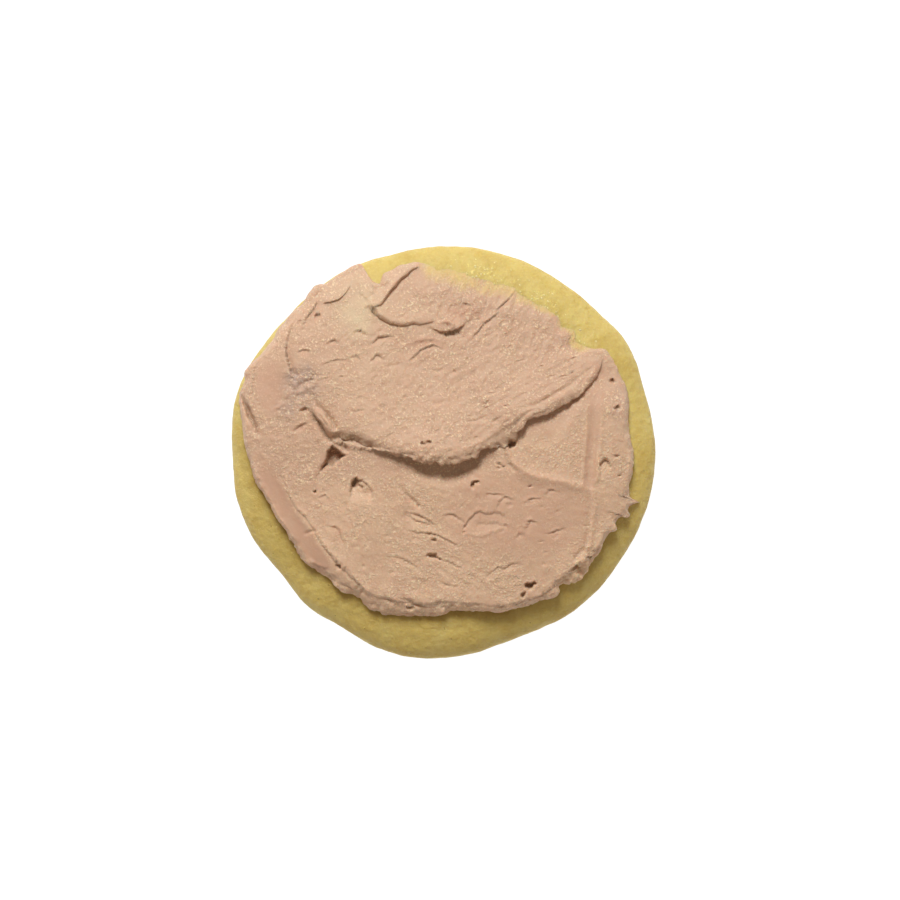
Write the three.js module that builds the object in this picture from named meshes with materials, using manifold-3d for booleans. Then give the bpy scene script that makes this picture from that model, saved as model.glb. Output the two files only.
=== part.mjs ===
// An iced sugar cookie: a soft, pale round cookie with buttercream spread on it by knife.
//
// Millimetres, +Z up. The origin is the middle of the flat base, so the cookie rests on z = 0.
// The icing is one mass, spread in two passes. The second pass ends in a curled lip that crosses
// the middle, and thins out to a feathered edge on the +Y side, where bare cookie shows.
import Module from "manifold-3d";
import * as THREE from "three";
import { mergeVertices } from "three/addons/utils/BufferGeometryUtils.js";

// ---- driving dimensions ---------------------------------------------------------------------

const COOKIE = {
  radius: 42.2, // of the outline, before its bulges and flats
  shoulderHeight: 9.2, // where the top would meet the side if the edge were square
  domeRise: 3.0, // the middle of the top above the shoulder
  widestHeight: 4.4, // height of the widest line of the side
  shoulderStart: 0.72, // share of the radius where the top starts to round over
  footStart: 0.9, // share of the radius where the flat base ends
  shoulderRoundness: 2.3, // exponent of the rounding: 2 is an ellipse, more is squarer
};

// Slow swells that baking leaves in the top: height in mm, turns in radians per mm of x and y.
const SWELLS = [
  { height: 0.13, alongX: 0.11, alongY: 0.09, start: 1.3 },
  { height: 0.11, alongX: 0.05, alongY: -0.14, start: 0.4 },
  { height: 0.12, alongX: 0.2, alongY: -0.16, start: 2.2 },
];

// Where the round outline swells out or flattens: angle from +X and width in degrees, size in mm.
const COOKIE_BULGES = [
  { at: 3, width: 17, size: 0.8 },
  { at: 30, width: 11, size: 1.3 },
  { at: 90, width: 14, size: -0.3 },
  { at: 104, width: 9, size: -0.6 },
  { at: 130, width: 18, size: -0.4 },
  { at: 165, width: 14, size: 1.3 },
  { at: 193, width: 11, size: 0.6 },
  { at: 218, width: 9, size: -1.1 },
  { at: 240, width: 9, size: -1.1 },
  { at: 291, width: 15, size: -1.5 },
  { at: 345, width: 18, size: 0.6 },
];

const ICING = {
  centre: [-1.5, 2.0], // the point that its rings run round
  thick: 3.1, // of the first pass, on the -Y side
  thin: 0.9, // near the feathered edge
  thinnest: 0.4, // nowhere less than this, even in a pit
  wallWidth: 2.2, // how far inside its outline a full edge has risen to its height
  featherWidth: 5.0, // the same at the feathered edge
  wallRoundness: 2.4,
  gap: 0.3, // clearance over the cookie
  sink: 0.8, // how far the uncut icing reaches into the cookie, before the cookie is cut out of it
};

// The icing thins along this direction, from +Y of the lip to the feathered edge.
const FEATHER = { direction: [0.35, 0.94], from: 6, to: 32 };

// The icing's uneven outline, round from the tip at the top.
const ICING_OUTLINE = [
  [-17.6, 37.6], [-16.2, 35.6], [-13.6, 34.2], [-10.0, 36.4], [-5.2, 38.4], [-0.5, 36.6],
  [4.0, 33.9], [9.6, 33.1], [15.0, 31.2], [22.4, 29.8], [24.4, 25.8], [28.5, 21.7],
  [31.5, 21.4], [33.6, 19.7], [36.6, 15.3], [37.6, 7.2], [38.8, 0.4], [37.8, -8.3],
  [39.5, -10.1], [37.5, -13.0], [34.8, -15.8], [31.3, -19.9], [28.5, -24.9], [23.2, -27.6],
  [22.2, -29.6], [13.3, -32.7], [2.1, -32.2], [-4.6, -33.1], [-14.7, -31.8], [-20.8, -27.6],
  [-27.9, -22.5], [-34.4, -11.8], [-39.0, -1.6], [-40.5, 7.2], [-40.8, 12.0], [-39.7, 17.3],
  [-32.3, 26.0], [-28.5, 30.0], [-23.6, 34.0],
];

// Raised and sunken strokes of the knife. Each path point is [x, y, height], where a height below
// zero is a groove. The stroke falls away over `left` mm on the left of its path and over `right`
// mm on the right, so a lip is wide on one side and steep on the other.
const STROKES = [
  {
    name: "main lip",
    path: [
      [-22.2, 3.0, 0.8], [-18.8, 1.4, 1.1], [-14.3, 0.4, 1.3], [-9.4, 0.2, 1.9],
      [-4.2, -1.9, 2.6], [0.0, -2.3, 2.8], [4.8, -1.8, 2.6], [9.0, 1.0, 1.6],
      [12.9, 2.6, 1.3], [18.4, 7.1, 1.6], [25.0, 10.1, 1.3], [29.7, 13.8, 0.9], [32.1, 18.7, 0.1],
    ],
    left: 7.0,
    right: 0.7,
  },
  {
    name: "lobe ridge",
    path: [[-7.2, 37.0, 0.2], [-10.8, 33.3, 0.9], [-13.9, 29.6, 0.8]],
    left: 1.8,
    right: 1.3,
  },
  {
    name: "lobe lip",
    path: [[-13.9, 29.6, 1.0], [-10.4, 26.2, 0.9], [-4.6, 26.2, 0.5], [-0.9, 26.6, 0.3]],
    left: 3.5,
    right: 1.3,
  },
  {
    name: "small fold",
    path: [[-1.4, 25.6, 0.3], [1.4, 25.4, 1.1], [4.4, 26.4, 0.2]],
    left: 1.8,
    right: 1.2,
  },
  {
    name: "lift-off ridge",
    path: [[13.3, 0.4, 0.5], [18.2, -4.3, 0.6], [29.1, -7.3, 0.3]],
    left: 0.9,
    right: 1.2,
  },
  {
    name: "pressed stripe",
    path: [[29.5, 11.6, -0.1], [29.7, 2.0, -0.5], [29.2, -6.9, -0.2]],
    left: 1.4,
    right: 1.4,
  },
  {
    name: "torn ribbon",
    path: [[-25.9, 8.7, 0.2], [-24.0, 6.0, 0.8], [-22.2, 3.0, 0.6]],
    left: 0.8,
    right: 0.8,
  },
  {
    name: "pressed band",
    path: [[-39.3, 4.0, -0.2], [-35.6, -7.0, -0.7], [-29.8, -17.0, -0.6], [-23.0, -24.6, -0.3]],
    left: 1.3,
    right: 1.3,
  },
  {
    name: "band crease",
    path: [[-32.4, -5.3, 0.2], [-26.3, -18.9, 0.5], [-15.5, -29.4, 0.6]],
    left: 1.4,
    right: 0.8,
  },
  {
    name: "foot ledge",
    path: [
      [-18.4, -27.0, 0.3], [-4.6, -30.2, 0.5], [9.6, -30.9, 0.5], [20.8, -27.4, 0.5], [30.6, -19.6, 0.3],
    ],
    left: 2.4,
    right: 0.9,
  },
  {
    name: "edge notch",
    path: [[-40.0, 10.2, -0.5], [-39.0, 7.7, -1.0], [-37.6, 4.2, -0.2]],
    left: 0.8,
    right: 0.8,
  },
  {
    name: "swath edge",
    path: [[-25.7, 34.0, -0.2], [-29.5, 25.8, -0.5], [-31.1, 17.0, -0.3]],
    left: 0.9,
    right: 0.9,
  },
];
const STROKE_FALL = 1.5; // how sharply a stroke falls away: 1 is a crease, 2 is a smooth bell

// Torn holes and burst air bubbles: centre, length along `turn` (degrees from +X), width, depth.
const PITS = [
  { name: "tear", at: [-21.6, -0.7], length: 4.6, width: 2.4, turn: 55, depth: 2.0 },
  { name: "looped pit", at: [-16.0, -7.6], length: 3.6, width: 1.8, turn: -55, depth: 1.0 },
  { name: "round bubble", at: [17.6, -27.0], length: 1.8, width: 1.6, turn: 0, depth: 1.4 },
  { name: "upper crater", at: [8.6, -13.2], length: 6.0, width: 2.6, turn: 12, depth: 0.7 },
  { name: "right bubble", at: [33.0, -3.0], length: 2.6, width: 1.5, turn: 75, depth: 0.9 },
  { name: "fold hollow", at: [1.2, 24.0], length: 4.4, width: 1.2, turn: 5, depth: 0.7 },
];
const PIT_FLOOR = 0.4; // share of its size that is a pit's flat floor
const PIT_RIM = 1.2; // share of its size where a pit's side meets the surface

// ---- mesh fineness --------------------------------------------------------------------------

const COOKIE_MESH = { around: 84, crownRings: 6, shoulderRings: 6, footRings: 4, baseRings: 2 };
const ICING_MESH = { around: 136, topRings: 29, wallRings: 4, undersideRings: 3 };
const STROKE_STEPS = 60; // straight steps that a stroke's curve is measured on
const OUTLINE_STEPS = 1440; // directions in which the icing's outline is measured
const MERGE_DISTANCE = 1e-3;

// Vertices within `reach` mm of the main lip crowd towards it, so that its edge is a clean line.
// The crowding starts `ends` of the lip's length in from either end.
const CROWDING = { reach: 3.2, power: 1.1, ends: 0.08 };

const manifold = await Module();
manifold.setup();

// ---- small helpers --------------------------------------------------------------------------

const { clamp, degToRad, lerp, radToDeg, smoothstep } = THREE.MathUtils;

/** The smallest turn between two directions, in degrees. */
function angleBetween(a, b) {
  const turn = (((a - b) % 360) + 540) % 360;
  return Math.abs(turn - 180);
}

/** A quarter of a superellipse: 1 at share 0, falling to 0 with an upright tangent at share 1. */
function quarterRound(share, roundness) {
  return (1 - clamp(share, 0, 1) ** roundness) ** (1 / roundness);
}

// ---- the cookie's form ----------------------------------------------------------------------

/** Distance from the axis to the cookie's outline, in a direction given in radians. */
function cookieRadius(angle) {
  let radius = COOKIE.radius;
  for (const { at, width, size } of COOKIE_BULGES) {
    radius += size * Math.exp(-((angleBetween(radToDeg(angle), at) / width) ** 2));
  }
  return radius;
}

/** Height of the slow swells of the baked top at a point of the plan. */
function swellAt(x, y) {
  let height = 0;
  for (const swell of SWELLS) {
    height += swell.height * Math.sin(swell.alongX * x + swell.alongY * y + swell.start);
  }
  return height;
}

/** Height of the cookie's top surface above the base. */
function cookieTop(x, y) {
  const { shoulderStart, shoulderHeight, domeRise, widestHeight, shoulderRoundness } = COOKIE;
  const share = Math.min(1, Math.hypot(x, y) / cookieRadius(Math.atan2(y, x)));
  const crown = shoulderHeight + domeRise * (1 - share ** 2) + swellAt(x, y) * (1 - share ** 4);
  const over = (share - shoulderStart) / (1 - shoulderStart);
  return widestHeight + (crown - widestHeight) * quarterRound(over, shoulderRoundness);
}

/** Height of the rounded underside, which is 0 on the flat base. */
function cookieFoot(share) {
  const over = (share - COOKIE.footStart) / (1 - COOKIE.footStart);
  return COOKIE.widestHeight * (1 - quarterRound(over, COOKIE.shoulderRoundness));
}

/** Ring positions from the base's middle, out round the side, to the top's middle. */
function cookieProfile() {
  const { shoulderStart, footStart } = COOKIE;
  const { crownRings, shoulderRings, footRings, baseRings } = COOKIE_MESH;
  const rings = [];
  const add = (share, top) => rings.push({ share, top });
  const rounding = (start, i, count) => start + (1 - start) * Math.sin(((i / count) * Math.PI) / 2);
  for (let i = 0; i <= baseRings; i++) add((footStart * i) / baseRings, false);
  for (let i = 1; i <= footRings; i++) add(rounding(footStart, i, footRings), false);
  for (let i = shoulderRings - 1; i >= 0; i--) add(rounding(shoulderStart, i, shoulderRings), true);
  for (let i = crownRings - 1; i >= 0; i--) add((shoulderStart * i) / crownRings, true);
  return rings;
}

// ---- the icing's form -----------------------------------------------------------------------

/** Distances from the icing's centre to its outline, at even steps of direction. */
function icingRadii() {
  const [cx, cy] = ICING.centre;
  const curve = new THREE.CatmullRomCurve3(
    ICING_OUTLINE.map(([x, y]) => new THREE.Vector3(x - cx, y - cy, 0)),
    true,
    "centripetal",
  );
  const radii = new Float64Array(OUTLINE_STEPS);
  const trace = curve.getPoints(OUTLINE_STEPS * 4);
  for (const point of trace) {
    const step = Math.round((Math.atan2(point.y, point.x) / (2 * Math.PI)) * OUTLINE_STEPS);
    radii[(step + OUTLINE_STEPS) % OUTLINE_STEPS] = point.length();
  }
  for (let i = 0; i < 2 * OUTLINE_STEPS; i++) {
    const here = i % OUTLINE_STEPS;
    if (radii[here] === 0) radii[here] = radii[(i + OUTLINE_STEPS - 1) % OUTLINE_STEPS];
  }
  return radii;
}

const ICING_RADII = icingRadii();

/** Distance from the icing's centre to its outline, in a direction given in radians. */
function icingRadius(angle) {
  const step = (((angle / (2 * Math.PI)) % 1) + 1) * OUTLINE_STEPS;
  const low = Math.floor(step);
  return lerp(ICING_RADII[low % OUTLINE_STEPS], ICING_RADII[(low + 1) % OUTLINE_STEPS], step - low);
}

/** 0 over the first pass of icing, rising to 1 at the feathered edge. */
function featherAt(x, y) {
  const [dx, dy] = FEATHER.direction;
  return smoothstep(dx * x + dy * y, FEATHER.from, FEATHER.to);
}

/** Each stroke's curve as straight pieces, ready to measure from. */
const strokeLines = STROKES.map(({ path, left, right }) => {
  const knots = path.map((p) => new THREE.Vector3(...p));
  const curve = new THREE.CatmullRomCurve3(knots, false, "centripetal");
  return { left, right, points: curve.getPoints(STROKE_STEPS) };
});
const [mainLip] = strokeLines;

/** Where a point of the plan lies beside a stroke, measured at the nearest point of its path. */
function besideStroke({ points }, x, y) {
  let nearest = { distance: Infinity };
  for (let i = 0; i < points.length - 1; i++) {
    const a = points[i];
    const b = points[i + 1];
    const [dx, dy] = [b.x - a.x, b.y - a.y];
    const along = clamp(((x - a.x) * dx + (y - a.y) * dy) / (dx * dx + dy * dy), 0, 1);
    const foot = [a.x + along * dx, a.y + along * dy];
    const [px, py] = [x - foot[0], y - foot[1]];
    const distance = Math.hypot(px, py);
    if (distance < nearest.distance) {
      const share = (i + along) / (points.length - 1);
      nearest = { distance, share, foot, side: dx * py - dy * px, height: lerp(a.z, b.z, along) };
    }
  }
  return nearest;
}

/** What one stroke adds to the icing's height at a point of the plan. */
function strokeHeight(stroke, x, y) {
  const { distance, side, height } = besideStroke(stroke, x, y);
  return height * Math.exp(-((distance / (side > 0 ? stroke.left : stroke.right)) ** STROKE_FALL));
}

/** A point of the plan moved towards the main lip, if it lies within the lip's reach. */
function crowdToLip(x, y) {
  const { distance, foot, share } = besideStroke(mainLip, x, y);
  if (distance >= CROWDING.reach) return [x, y];
  const inside = smoothstep(Math.min(share, 1 - share), 0, CROWDING.ends);
  const scale = lerp(1, (distance / CROWDING.reach) ** CROWDING.power, inside);
  return [lerp(foot[0], x, scale), lerp(foot[1], y, scale)];
}

/** How far a pit sinks the icing at a point of the plan. */
function pitDepth({ at, length, width, turn, depth }, x, y) {
  const angle = degToRad(turn);
  const [dx, dy] = [x - at[0], y - at[1]];
  const along = (dx * Math.cos(angle) + dy * Math.sin(angle)) / (length / 2);
  const across = (dy * Math.cos(angle) - dx * Math.sin(angle)) / (width / 2);
  return depth * (1 - smoothstep(Math.hypot(along, across), PIT_FLOOR, PIT_RIM));
}

/** Thickness of the icing away from its edges. */
function icingThickness(x, y) {
  const spread = lerp(ICING.thick, ICING.thin, featherAt(x, y));
  const strokes = strokeLines.reduce((sum, stroke) => sum + strokeHeight(stroke, x, y), 0);
  const pits = PITS.reduce((sum, pit) => sum + pitDepth(pit, x, y), 0);
  return Math.max(ICING.thinnest, spread + strokes - pits);
}

/** Ring positions from the underside's middle, out over the edge, to the top's middle. */
function icingProfile() {
  const { topRings, wallRings, undersideRings } = ICING_MESH;
  const rings = [];
  for (let i = 0; i <= undersideRings; i++) rings.push({ share: i / undersideRings, under: true });
  for (let i = wallRings - 1; i >= 1; i--) rings.push({ share: 1, rise: 1 - i / wallRings });
  for (let i = topRings; i >= 0; i--) rings.push({ share: i / topRings, rise: 1 });
  return rings;
}

/** The place of an icing vertex: a ring of the profile, in a direction from the icing's centre. */
function icingPoint({ share, rise, under }, angle) {
  const [cx, cy] = ICING.centre;
  const radius = icingRadius(angle);
  const edge = [cx + radius * Math.cos(angle), cy + radius * Math.sin(angle)];
  const wall = lerp(ICING.wallWidth, ICING.featherWidth, featherAt(...edge));
  // The top stops a wall's width short of the outline, and the wall rings round over from there.
  const rollOver = under ? 1 : Math.cos((rise * Math.PI) / 2);
  const reach = under ? share * radius : share * (radius - wall) + (share === 1 ? wall * rollOver : 0);
  const [x, y] = crowdToLip(cx + reach * Math.cos(angle), cy + reach * Math.sin(angle));
  const seat = cookieTop(x, y);
  if (under) return [x, y, seat - ICING.sink];
  const lift = share === 1 ? quarterRound(rollOver, ICING.wallRoundness) : 1;
  return [x, y, seat + lerp(-ICING.sink, icingThickness(x, y), lift)];
}

// ---- meshes ---------------------------------------------------------------------------------

/**
 * A closed solid from rings of vertices: LatheGeometry gives the rings and faces, and place(ring,
 * angle) says where each vertex goes.
 */
function ringSolid(rings, around, place) {
  const last = rings.length - 1;
  const profile = rings.map((_, i) => new THREE.Vector2(i === 0 || i === last ? 0 : 1, i));
  const geometry = new THREE.LatheGeometry(profile, around);
  const position = geometry.getAttribute("position");
  for (let i = 0; i < position.count; i++) {
    const ring = i % rings.length;
    const step = Math.floor(i / rings.length) % around;
    position.setXYZ(i, ...place(rings[ring], (2 * Math.PI * step) / around));
  }
  geometry.computeVertexNormals();
  return geometry;
}

/** The cookie, or the same form with its top and sides grown outwards by a clearance. */
function cookieGeometry(grow = 0) {
  return ringSolid(cookieProfile(), COOKIE_MESH.around, ({ share, top }, angle) => {
    const reach = share * cookieRadius(angle);
    const [x, y] = [reach * Math.cos(angle), reach * Math.sin(angle)];
    const grown = 1 + (grow * share) / COOKIE.radius;
    return [x * grown, y * grown, top ? cookieTop(x, y) + grow : cookieFoot(share)];
  });
}

/** A geometry as a manifold-3d solid. */
function toSolid(geometry) {
  const bare = geometry.toNonIndexed();
  bare.deleteAttribute("normal");
  bare.deleteAttribute("uv");
  const merged = mergeVertices(bare, MERGE_DISTANCE);
  return new manifold.Manifold(
    new manifold.Mesh({
      numProp: 3,
      vertProperties: merged.getAttribute("position").array,
      triVerts: new Uint32Array(merged.index.array),
    }),
  );
}

/** A manifold-3d solid as a geometry. */
function toGeometry(solid) {
  const mesh = solid.getMesh();
  const geometry = new THREE.BufferGeometry();
  geometry.setAttribute("position", new THREE.BufferAttribute(mesh.vertProperties, mesh.numProp));
  geometry.setIndex(new THREE.BufferAttribute(mesh.triVerts, 1));
  geometry.computeVertexNormals();
  return geometry;
}

function makeCookie() {
  const dough = new THREE.MeshStandardMaterial({ color: 0xe2cd84, roughness: 0.6, metalness: 0 });
  const cookie = new THREE.Mesh(cookieGeometry(), dough);
  cookie.name = "cookie";
  return cookie;
}

function makeIcing() {
  const uncut = toSolid(ringSolid(icingProfile(), ICING_MESH.around, icingPoint));
  const seated = uncut.subtract(toSolid(cookieGeometry(ICING.gap)));
  const [mass] = seated.decompose().sort((a, b) => b.volume() - a.volume());
  const buttercream = new THREE.MeshStandardMaterial({ color: 0xd4af90, roughness: 0.5, metalness: 0 });
  const icing = new THREE.Mesh(toGeometry(mass), buttercream);
  icing.name = "icing";
  return icing;
}

const icedCookie = new THREE.Group();
icedCookie.name = "iced_sugar_cookie";
icedCookie.add(makeCookie(), makeIcing());

export default icedCookie;
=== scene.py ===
"""An iced sugar cookie: soft pale dough, with peach buttercream spread on it by knife.

Sizes in the tables are millimetres on the plan of the cookie, with the middle of its flat base
at the origin and +Z up. Meshes are written in metres, in the same frame as the solids.
"""

from __future__ import annotations

import itertools
import logging
import math
from dataclasses import dataclass, field
from enum import Enum
from typing import Any, Callable

import bpy
import numpy as np
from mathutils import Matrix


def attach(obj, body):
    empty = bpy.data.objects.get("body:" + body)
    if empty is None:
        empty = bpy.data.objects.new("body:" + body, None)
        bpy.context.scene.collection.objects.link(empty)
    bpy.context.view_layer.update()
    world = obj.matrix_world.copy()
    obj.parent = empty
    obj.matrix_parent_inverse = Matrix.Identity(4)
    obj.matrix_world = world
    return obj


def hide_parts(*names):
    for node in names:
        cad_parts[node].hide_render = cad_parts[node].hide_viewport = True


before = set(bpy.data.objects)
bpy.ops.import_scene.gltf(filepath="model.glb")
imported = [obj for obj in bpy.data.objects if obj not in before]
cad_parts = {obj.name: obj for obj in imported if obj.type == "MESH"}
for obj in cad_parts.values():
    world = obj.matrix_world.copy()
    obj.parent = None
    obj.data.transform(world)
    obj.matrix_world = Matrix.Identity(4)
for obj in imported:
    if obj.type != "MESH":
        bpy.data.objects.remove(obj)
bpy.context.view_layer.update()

LOG = logging.getLogger("iced_cookie")
MM = 0.001

Array = np.ndarray
Socket = bpy.types.NodeSocket
Inputs = dict[str | int, Any]


# ---- small helpers --------------------------------------------------------------------------


def linear(colour: str) -> tuple[float, float, float, float]:
    """Turns an sRGB hex colour into linear red, green, blue and alpha.

    Args:
        colour: six hex digits after a #.

    Returns:
        The linear colour, with an alpha of 1.
    """
    parts = [int(colour[i : i + 2], 16) / 255 for i in (1, 3, 5)]
    return (*(p / 12.92 if p <= 0.04045 else ((p + 0.055) / 1.055) ** 2.4 for p in parts), 1.0)


def smoothstep(value: Array, low: float, high: float) -> Array:
    """Eases from 0 at low to 1 at high.

    Args:
        value: where to read the ease.
        low: value at and below which it is 0.
        high: value at and above which it is 1.

    Returns:
        The eased share, the same shape as value.
    """
    share = np.clip((value - low) / (high - low), 0.0, 1.0)
    return share * share * (3.0 - 2.0 * share)


def mix(low: Array | float, high: Array | float, share: Array | float) -> Array | float:
    """Goes from low at share 0 to high at share 1."""
    return low + (high - low) * share


def fall(distance: Array, reach: Array | float, power: float = 2.0) -> Array:
    """Falls away from 1 at distance 0, past about a third at the reach."""
    return np.exp(-((distance / reach) ** power))


def lattice_values(cells: Array, seed: int) -> Array:
    """Gives each whole-numbered cell a fixed value from -1 to 1.

    Args:
        cells: whole numbers, one row for each cell.
        seed: which set of values to read.

    Returns:
        One value for each row.
    """
    mixed = np.full(len(cells), np.uint64(seed * 7919 + 17))
    for column, prime in zip(cells.T, (0x85EBCA77, 0xC2B2AE3D, 0x27D4EB2F)):
        mixed ^= column.astype(np.uint64) * np.uint64(prime)
        mixed *= np.uint64(0x9E3779B97F4A7C15)
        mixed ^= mixed >> np.uint64(29)
    return (mixed >> np.uint64(11)).astype(float) / 2.0**52 - 1.0


def noise(points: Array, size: float, seed: int, octaves: int = 1) -> Array:
    """Smooth noise of about -1 to 1 that repeats exactly on every run.

    Args:
        points: places in mm, one row for each.
        size: width of one bump in mm.
        seed: which noise to read.
        octaves: how many finer layers are added, each half the size and half the height.

    Returns:
        One value for each point.
    """
    turn = np.eye(points.shape[1])
    turn[:2, :2] = [[0.8, -0.6], [0.6, 0.8]]
    total, weight = np.zeros(len(points)), 0.0
    scaled = points / size
    for octave in range(octaves):
        base = np.floor(scaled).astype(np.int64)
        share = scaled - base
        share = share**3 * (share * (share * 6.0 - 15.0) + 10.0)
        strength = 0.5**octave
        for corner in itertools.product((0, 1), repeat=points.shape[1]):
            near = np.prod(np.where(corner, share, 1.0 - share), axis=1)
            total += strength * near * lattice_values(base + np.array(corner), seed + 31 * octave)
        weight += strength
        scaled = scaled @ turn * 2.03 + 5.7
    return total / weight


@dataclass(frozen=True)
class Lumps:
    """Random relief: a lump's height and width in mm, which noise to read, and its finer layers."""

    height: float
    size: float
    seed: int
    octaves: int = 2

    def at(self, points: Array) -> Array:
        """Height of the relief at points in mm."""
        return self.height * noise(points, self.size, self.seed, self.octaves)


@dataclass(frozen=True)
class Spot:
    """A soft oval patch: its middle, half its width and height in mm, and its strength."""

    x: float
    y: float
    wide: float
    tall: float
    share: float = 1.0
    power: float = 2.0

    def reach(self, plan: Array) -> Array:
        """Distance from the middle, as a share of the patch's size."""
        return np.hypot((plan[:, 0] - self.x) / self.wide, (plan[:, 1] - self.y) / self.tall)

    def over(self, plan: Array) -> Array:
        """How strong the patch is over the plan."""
        return self.share * fall(self.reach(plan), 1.0, self.power)


def smooth_path(knots: Array, steps: int, closed: bool = False) -> Array:
    """A centripetal Catmull-Rom curve through knots.

    Args:
        knots: one row for each knot, x and y first, then any other values that change along it.
        steps: how many straight steps each stretch between two knots is drawn with.
        closed: whether the last knot joins the first.

    Returns:
        The curve's points, one row for each.
    """
    if closed:
        ring = np.vstack([knots[-1:], knots, knots[:2]])
    else:
        ring = np.vstack([2 * knots[:1] - knots[1:2], knots, 2 * knots[-1:] - knots[-2:-1]])
    points = []
    for p0, p1, p2, p3 in zip(ring, ring[1:], ring[2:], ring[3:]):
        pairs = ((p0, p1), (p1, p2), (p2, p3))
        gaps = [max(math.dist(a[:2], b[:2]), 1e-6) ** 0.5 for a, b in pairs]
        t0, t1, t2, t3 = 0.0, gaps[0], gaps[0] + gaps[1], sum(gaps)
        t = np.linspace(t1, t2, steps, endpoint=False)[:, None]
        a1 = mix(p0, p1, (t - t0) / (t1 - t0))
        a2 = mix(p1, p2, (t - t1) / (t2 - t1))
        a3 = mix(p2, p3, (t - t2) / (t3 - t2))
        b1 = mix(a1, a2, (t - t0) / (t2 - t0))
        b2 = mix(a2, a3, (t - t1) / (t3 - t1))
        points.append(mix(b1, b2, (t - t1) / (t2 - t1)))
    return np.vstack(points if closed else [*points, knots[-1:]])


@dataclass
class Beside:
    """Where points lie beside a path, measured at the path's nearest point."""

    distance: Array
    left: Array
    foot: Array
    share: Array
    values: Array


def beside(path: Array, plan: Array) -> Beside:
    """Measures points of the plan against a path.

    Args:
        path: the path's points: x, y, then any values that change along it.
        plan: points to measure, x and y.

    Returns:
        Distance, whether it is on the left, nearest point, share of the length, and the values.
    """
    best = Beside(
        np.full(len(plan), np.inf), np.zeros(len(plan), bool), np.zeros((len(plan), 2)),
        np.zeros(len(plan)), np.zeros((len(plan), path.shape[1] - 2)),
    )
    for i, (a, b) in enumerate(zip(path, path[1:])):
        step = b[:2] - a[:2]
        away = plan - a[:2]
        along = np.clip(away @ step / max(step @ step, 1e-9), 0.0, 1.0)
        foot = a[:2] + along[:, None] * step
        distance = np.hypot(*(plan - foot).T)
        near = distance < best.distance
        best.distance[near] = distance[near]
        best.left[near] = (step[0] * away[near, 1] - step[1] * away[near, 0]) > 0
        best.foot[near] = foot[near]
        best.share[near] = (i + along[near]) / (len(path) - 1)
        best.values[near] = mix(a[2:], b[2:], along[near, None])
    return best


def bridge(loop: Array, next_loop: Array) -> Array:
    """Quads between two rings of vertex numbers."""
    return np.column_stack([loop, next_loop, np.roll(next_loop, -1), np.roll(loop, -1)])


def fan(loop: Array, middle: int) -> Array:
    """Triangles between a ring of vertex numbers and the vertex in its middle."""
    return np.column_stack([loop, np.full(len(loop), middle), np.roll(loop, -1)])


class Mask(Enum):
    """What a piece's shape tells its finish, point by point."""

    FOOT = "foot"
    RELIEF = "relief"
    SUGAR = "sugar"
    # Painted shadow that the icing casts on the dough.
    PAINTED_ICING_SHADOW = "painted_icing_shadow"
    PRESSED = "pressed"
    FILM = "film"
    # Paler tone; below the main lip it is painted light that evens out the light's fall towards -Y.
    PALER_AND_PAINTED_LIGHT = "first"
    ROSE = "rose"
    # Painted light on the icing's outer wall, which faces away from the light.
    PAINTED_WALL_LIGHT = "torn"
    STRAW = "straw"
    MAUVE = "mauve"
    # Painted shade in pits, holes, narrow grooves, under the main lip and on its face.
    PAINTED_SHADE = "hollow"


def vertex_normals(points: Array, quads: Array) -> Array:
    """Unit normals of a mesh's vertices.

    Args:
        points: the vertices.
        quads: four vertex numbers for each face.

    Returns:
        One normal for each vertex.
    """
    a, b, c, d = (points[quads[:, i]] for i in range(4))
    across = np.cross(c - a, d - b)
    normals = np.zeros_like(points)
    for i in range(4):
        for axis in range(3):
            normals[:, axis] += np.bincount(quads[:, i], across[:, axis], len(points))
    return normals / np.maximum(np.linalg.norm(normals, axis=1, keepdims=True), 1e-12)


def make_object(
    name: str, points: Array, faces: list[Array], material: bpy.types.Material,
    masks: dict[Mask, Array],
) -> bpy.types.Object:
    """Makes a closed, smooth mesh object at the origin.

    Args:
        name: the piece's name.
        points: the vertices in mm.
        faces: tables of vertex numbers, each with one row for each face.
        material: its finish.
        masks: point attributes, one value for each vertex.

    Returns:
        The new object, with its faces pointing outwards.
    """
    mesh = bpy.data.meshes.new(name)
    mesh.from_pydata((points * MM).tolist(), [], [row for table in faces for row in table.tolist()])
    mesh.shade_smooth()
    for mask, values in masks.items():
        attribute = mesh.attributes.new(mask.value, "FLOAT", "POINT")
        attribute.data.foreach_set("value", values.astype(np.float32))
    mesh.materials.append(material)
    piece = bpy.data.objects.new(name, mesh)
    bpy.context.scene.collection.objects.link(piece)
    return piece


def add_node(
    tree: bpy.types.NodeTree, kind: str, inputs: Inputs | None = None, **settings: Any
) -> bpy.types.Node:
    """Adds a node with its settings, fixed inputs and links.

    Args:
        tree: the material's or the geometry's tree.
        kind: Blender's name for the node.
        inputs: input name or number, to a value or to the output socket that feeds it.
        **settings: the node's own properties.

    Returns:
        The new node.
    """
    node = tree.nodes.new(kind)
    for key, value in settings.items():
        setattr(node, key, value)
    for key, value in (inputs or {}).items():
        if isinstance(value, bpy.types.NodeSocket):
            tree.links.new(value, node.inputs[key])
        else:
            node.inputs[key].default_value = value
    return node


# ---- the finishes ---------------------------------------------------------------------------


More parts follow.
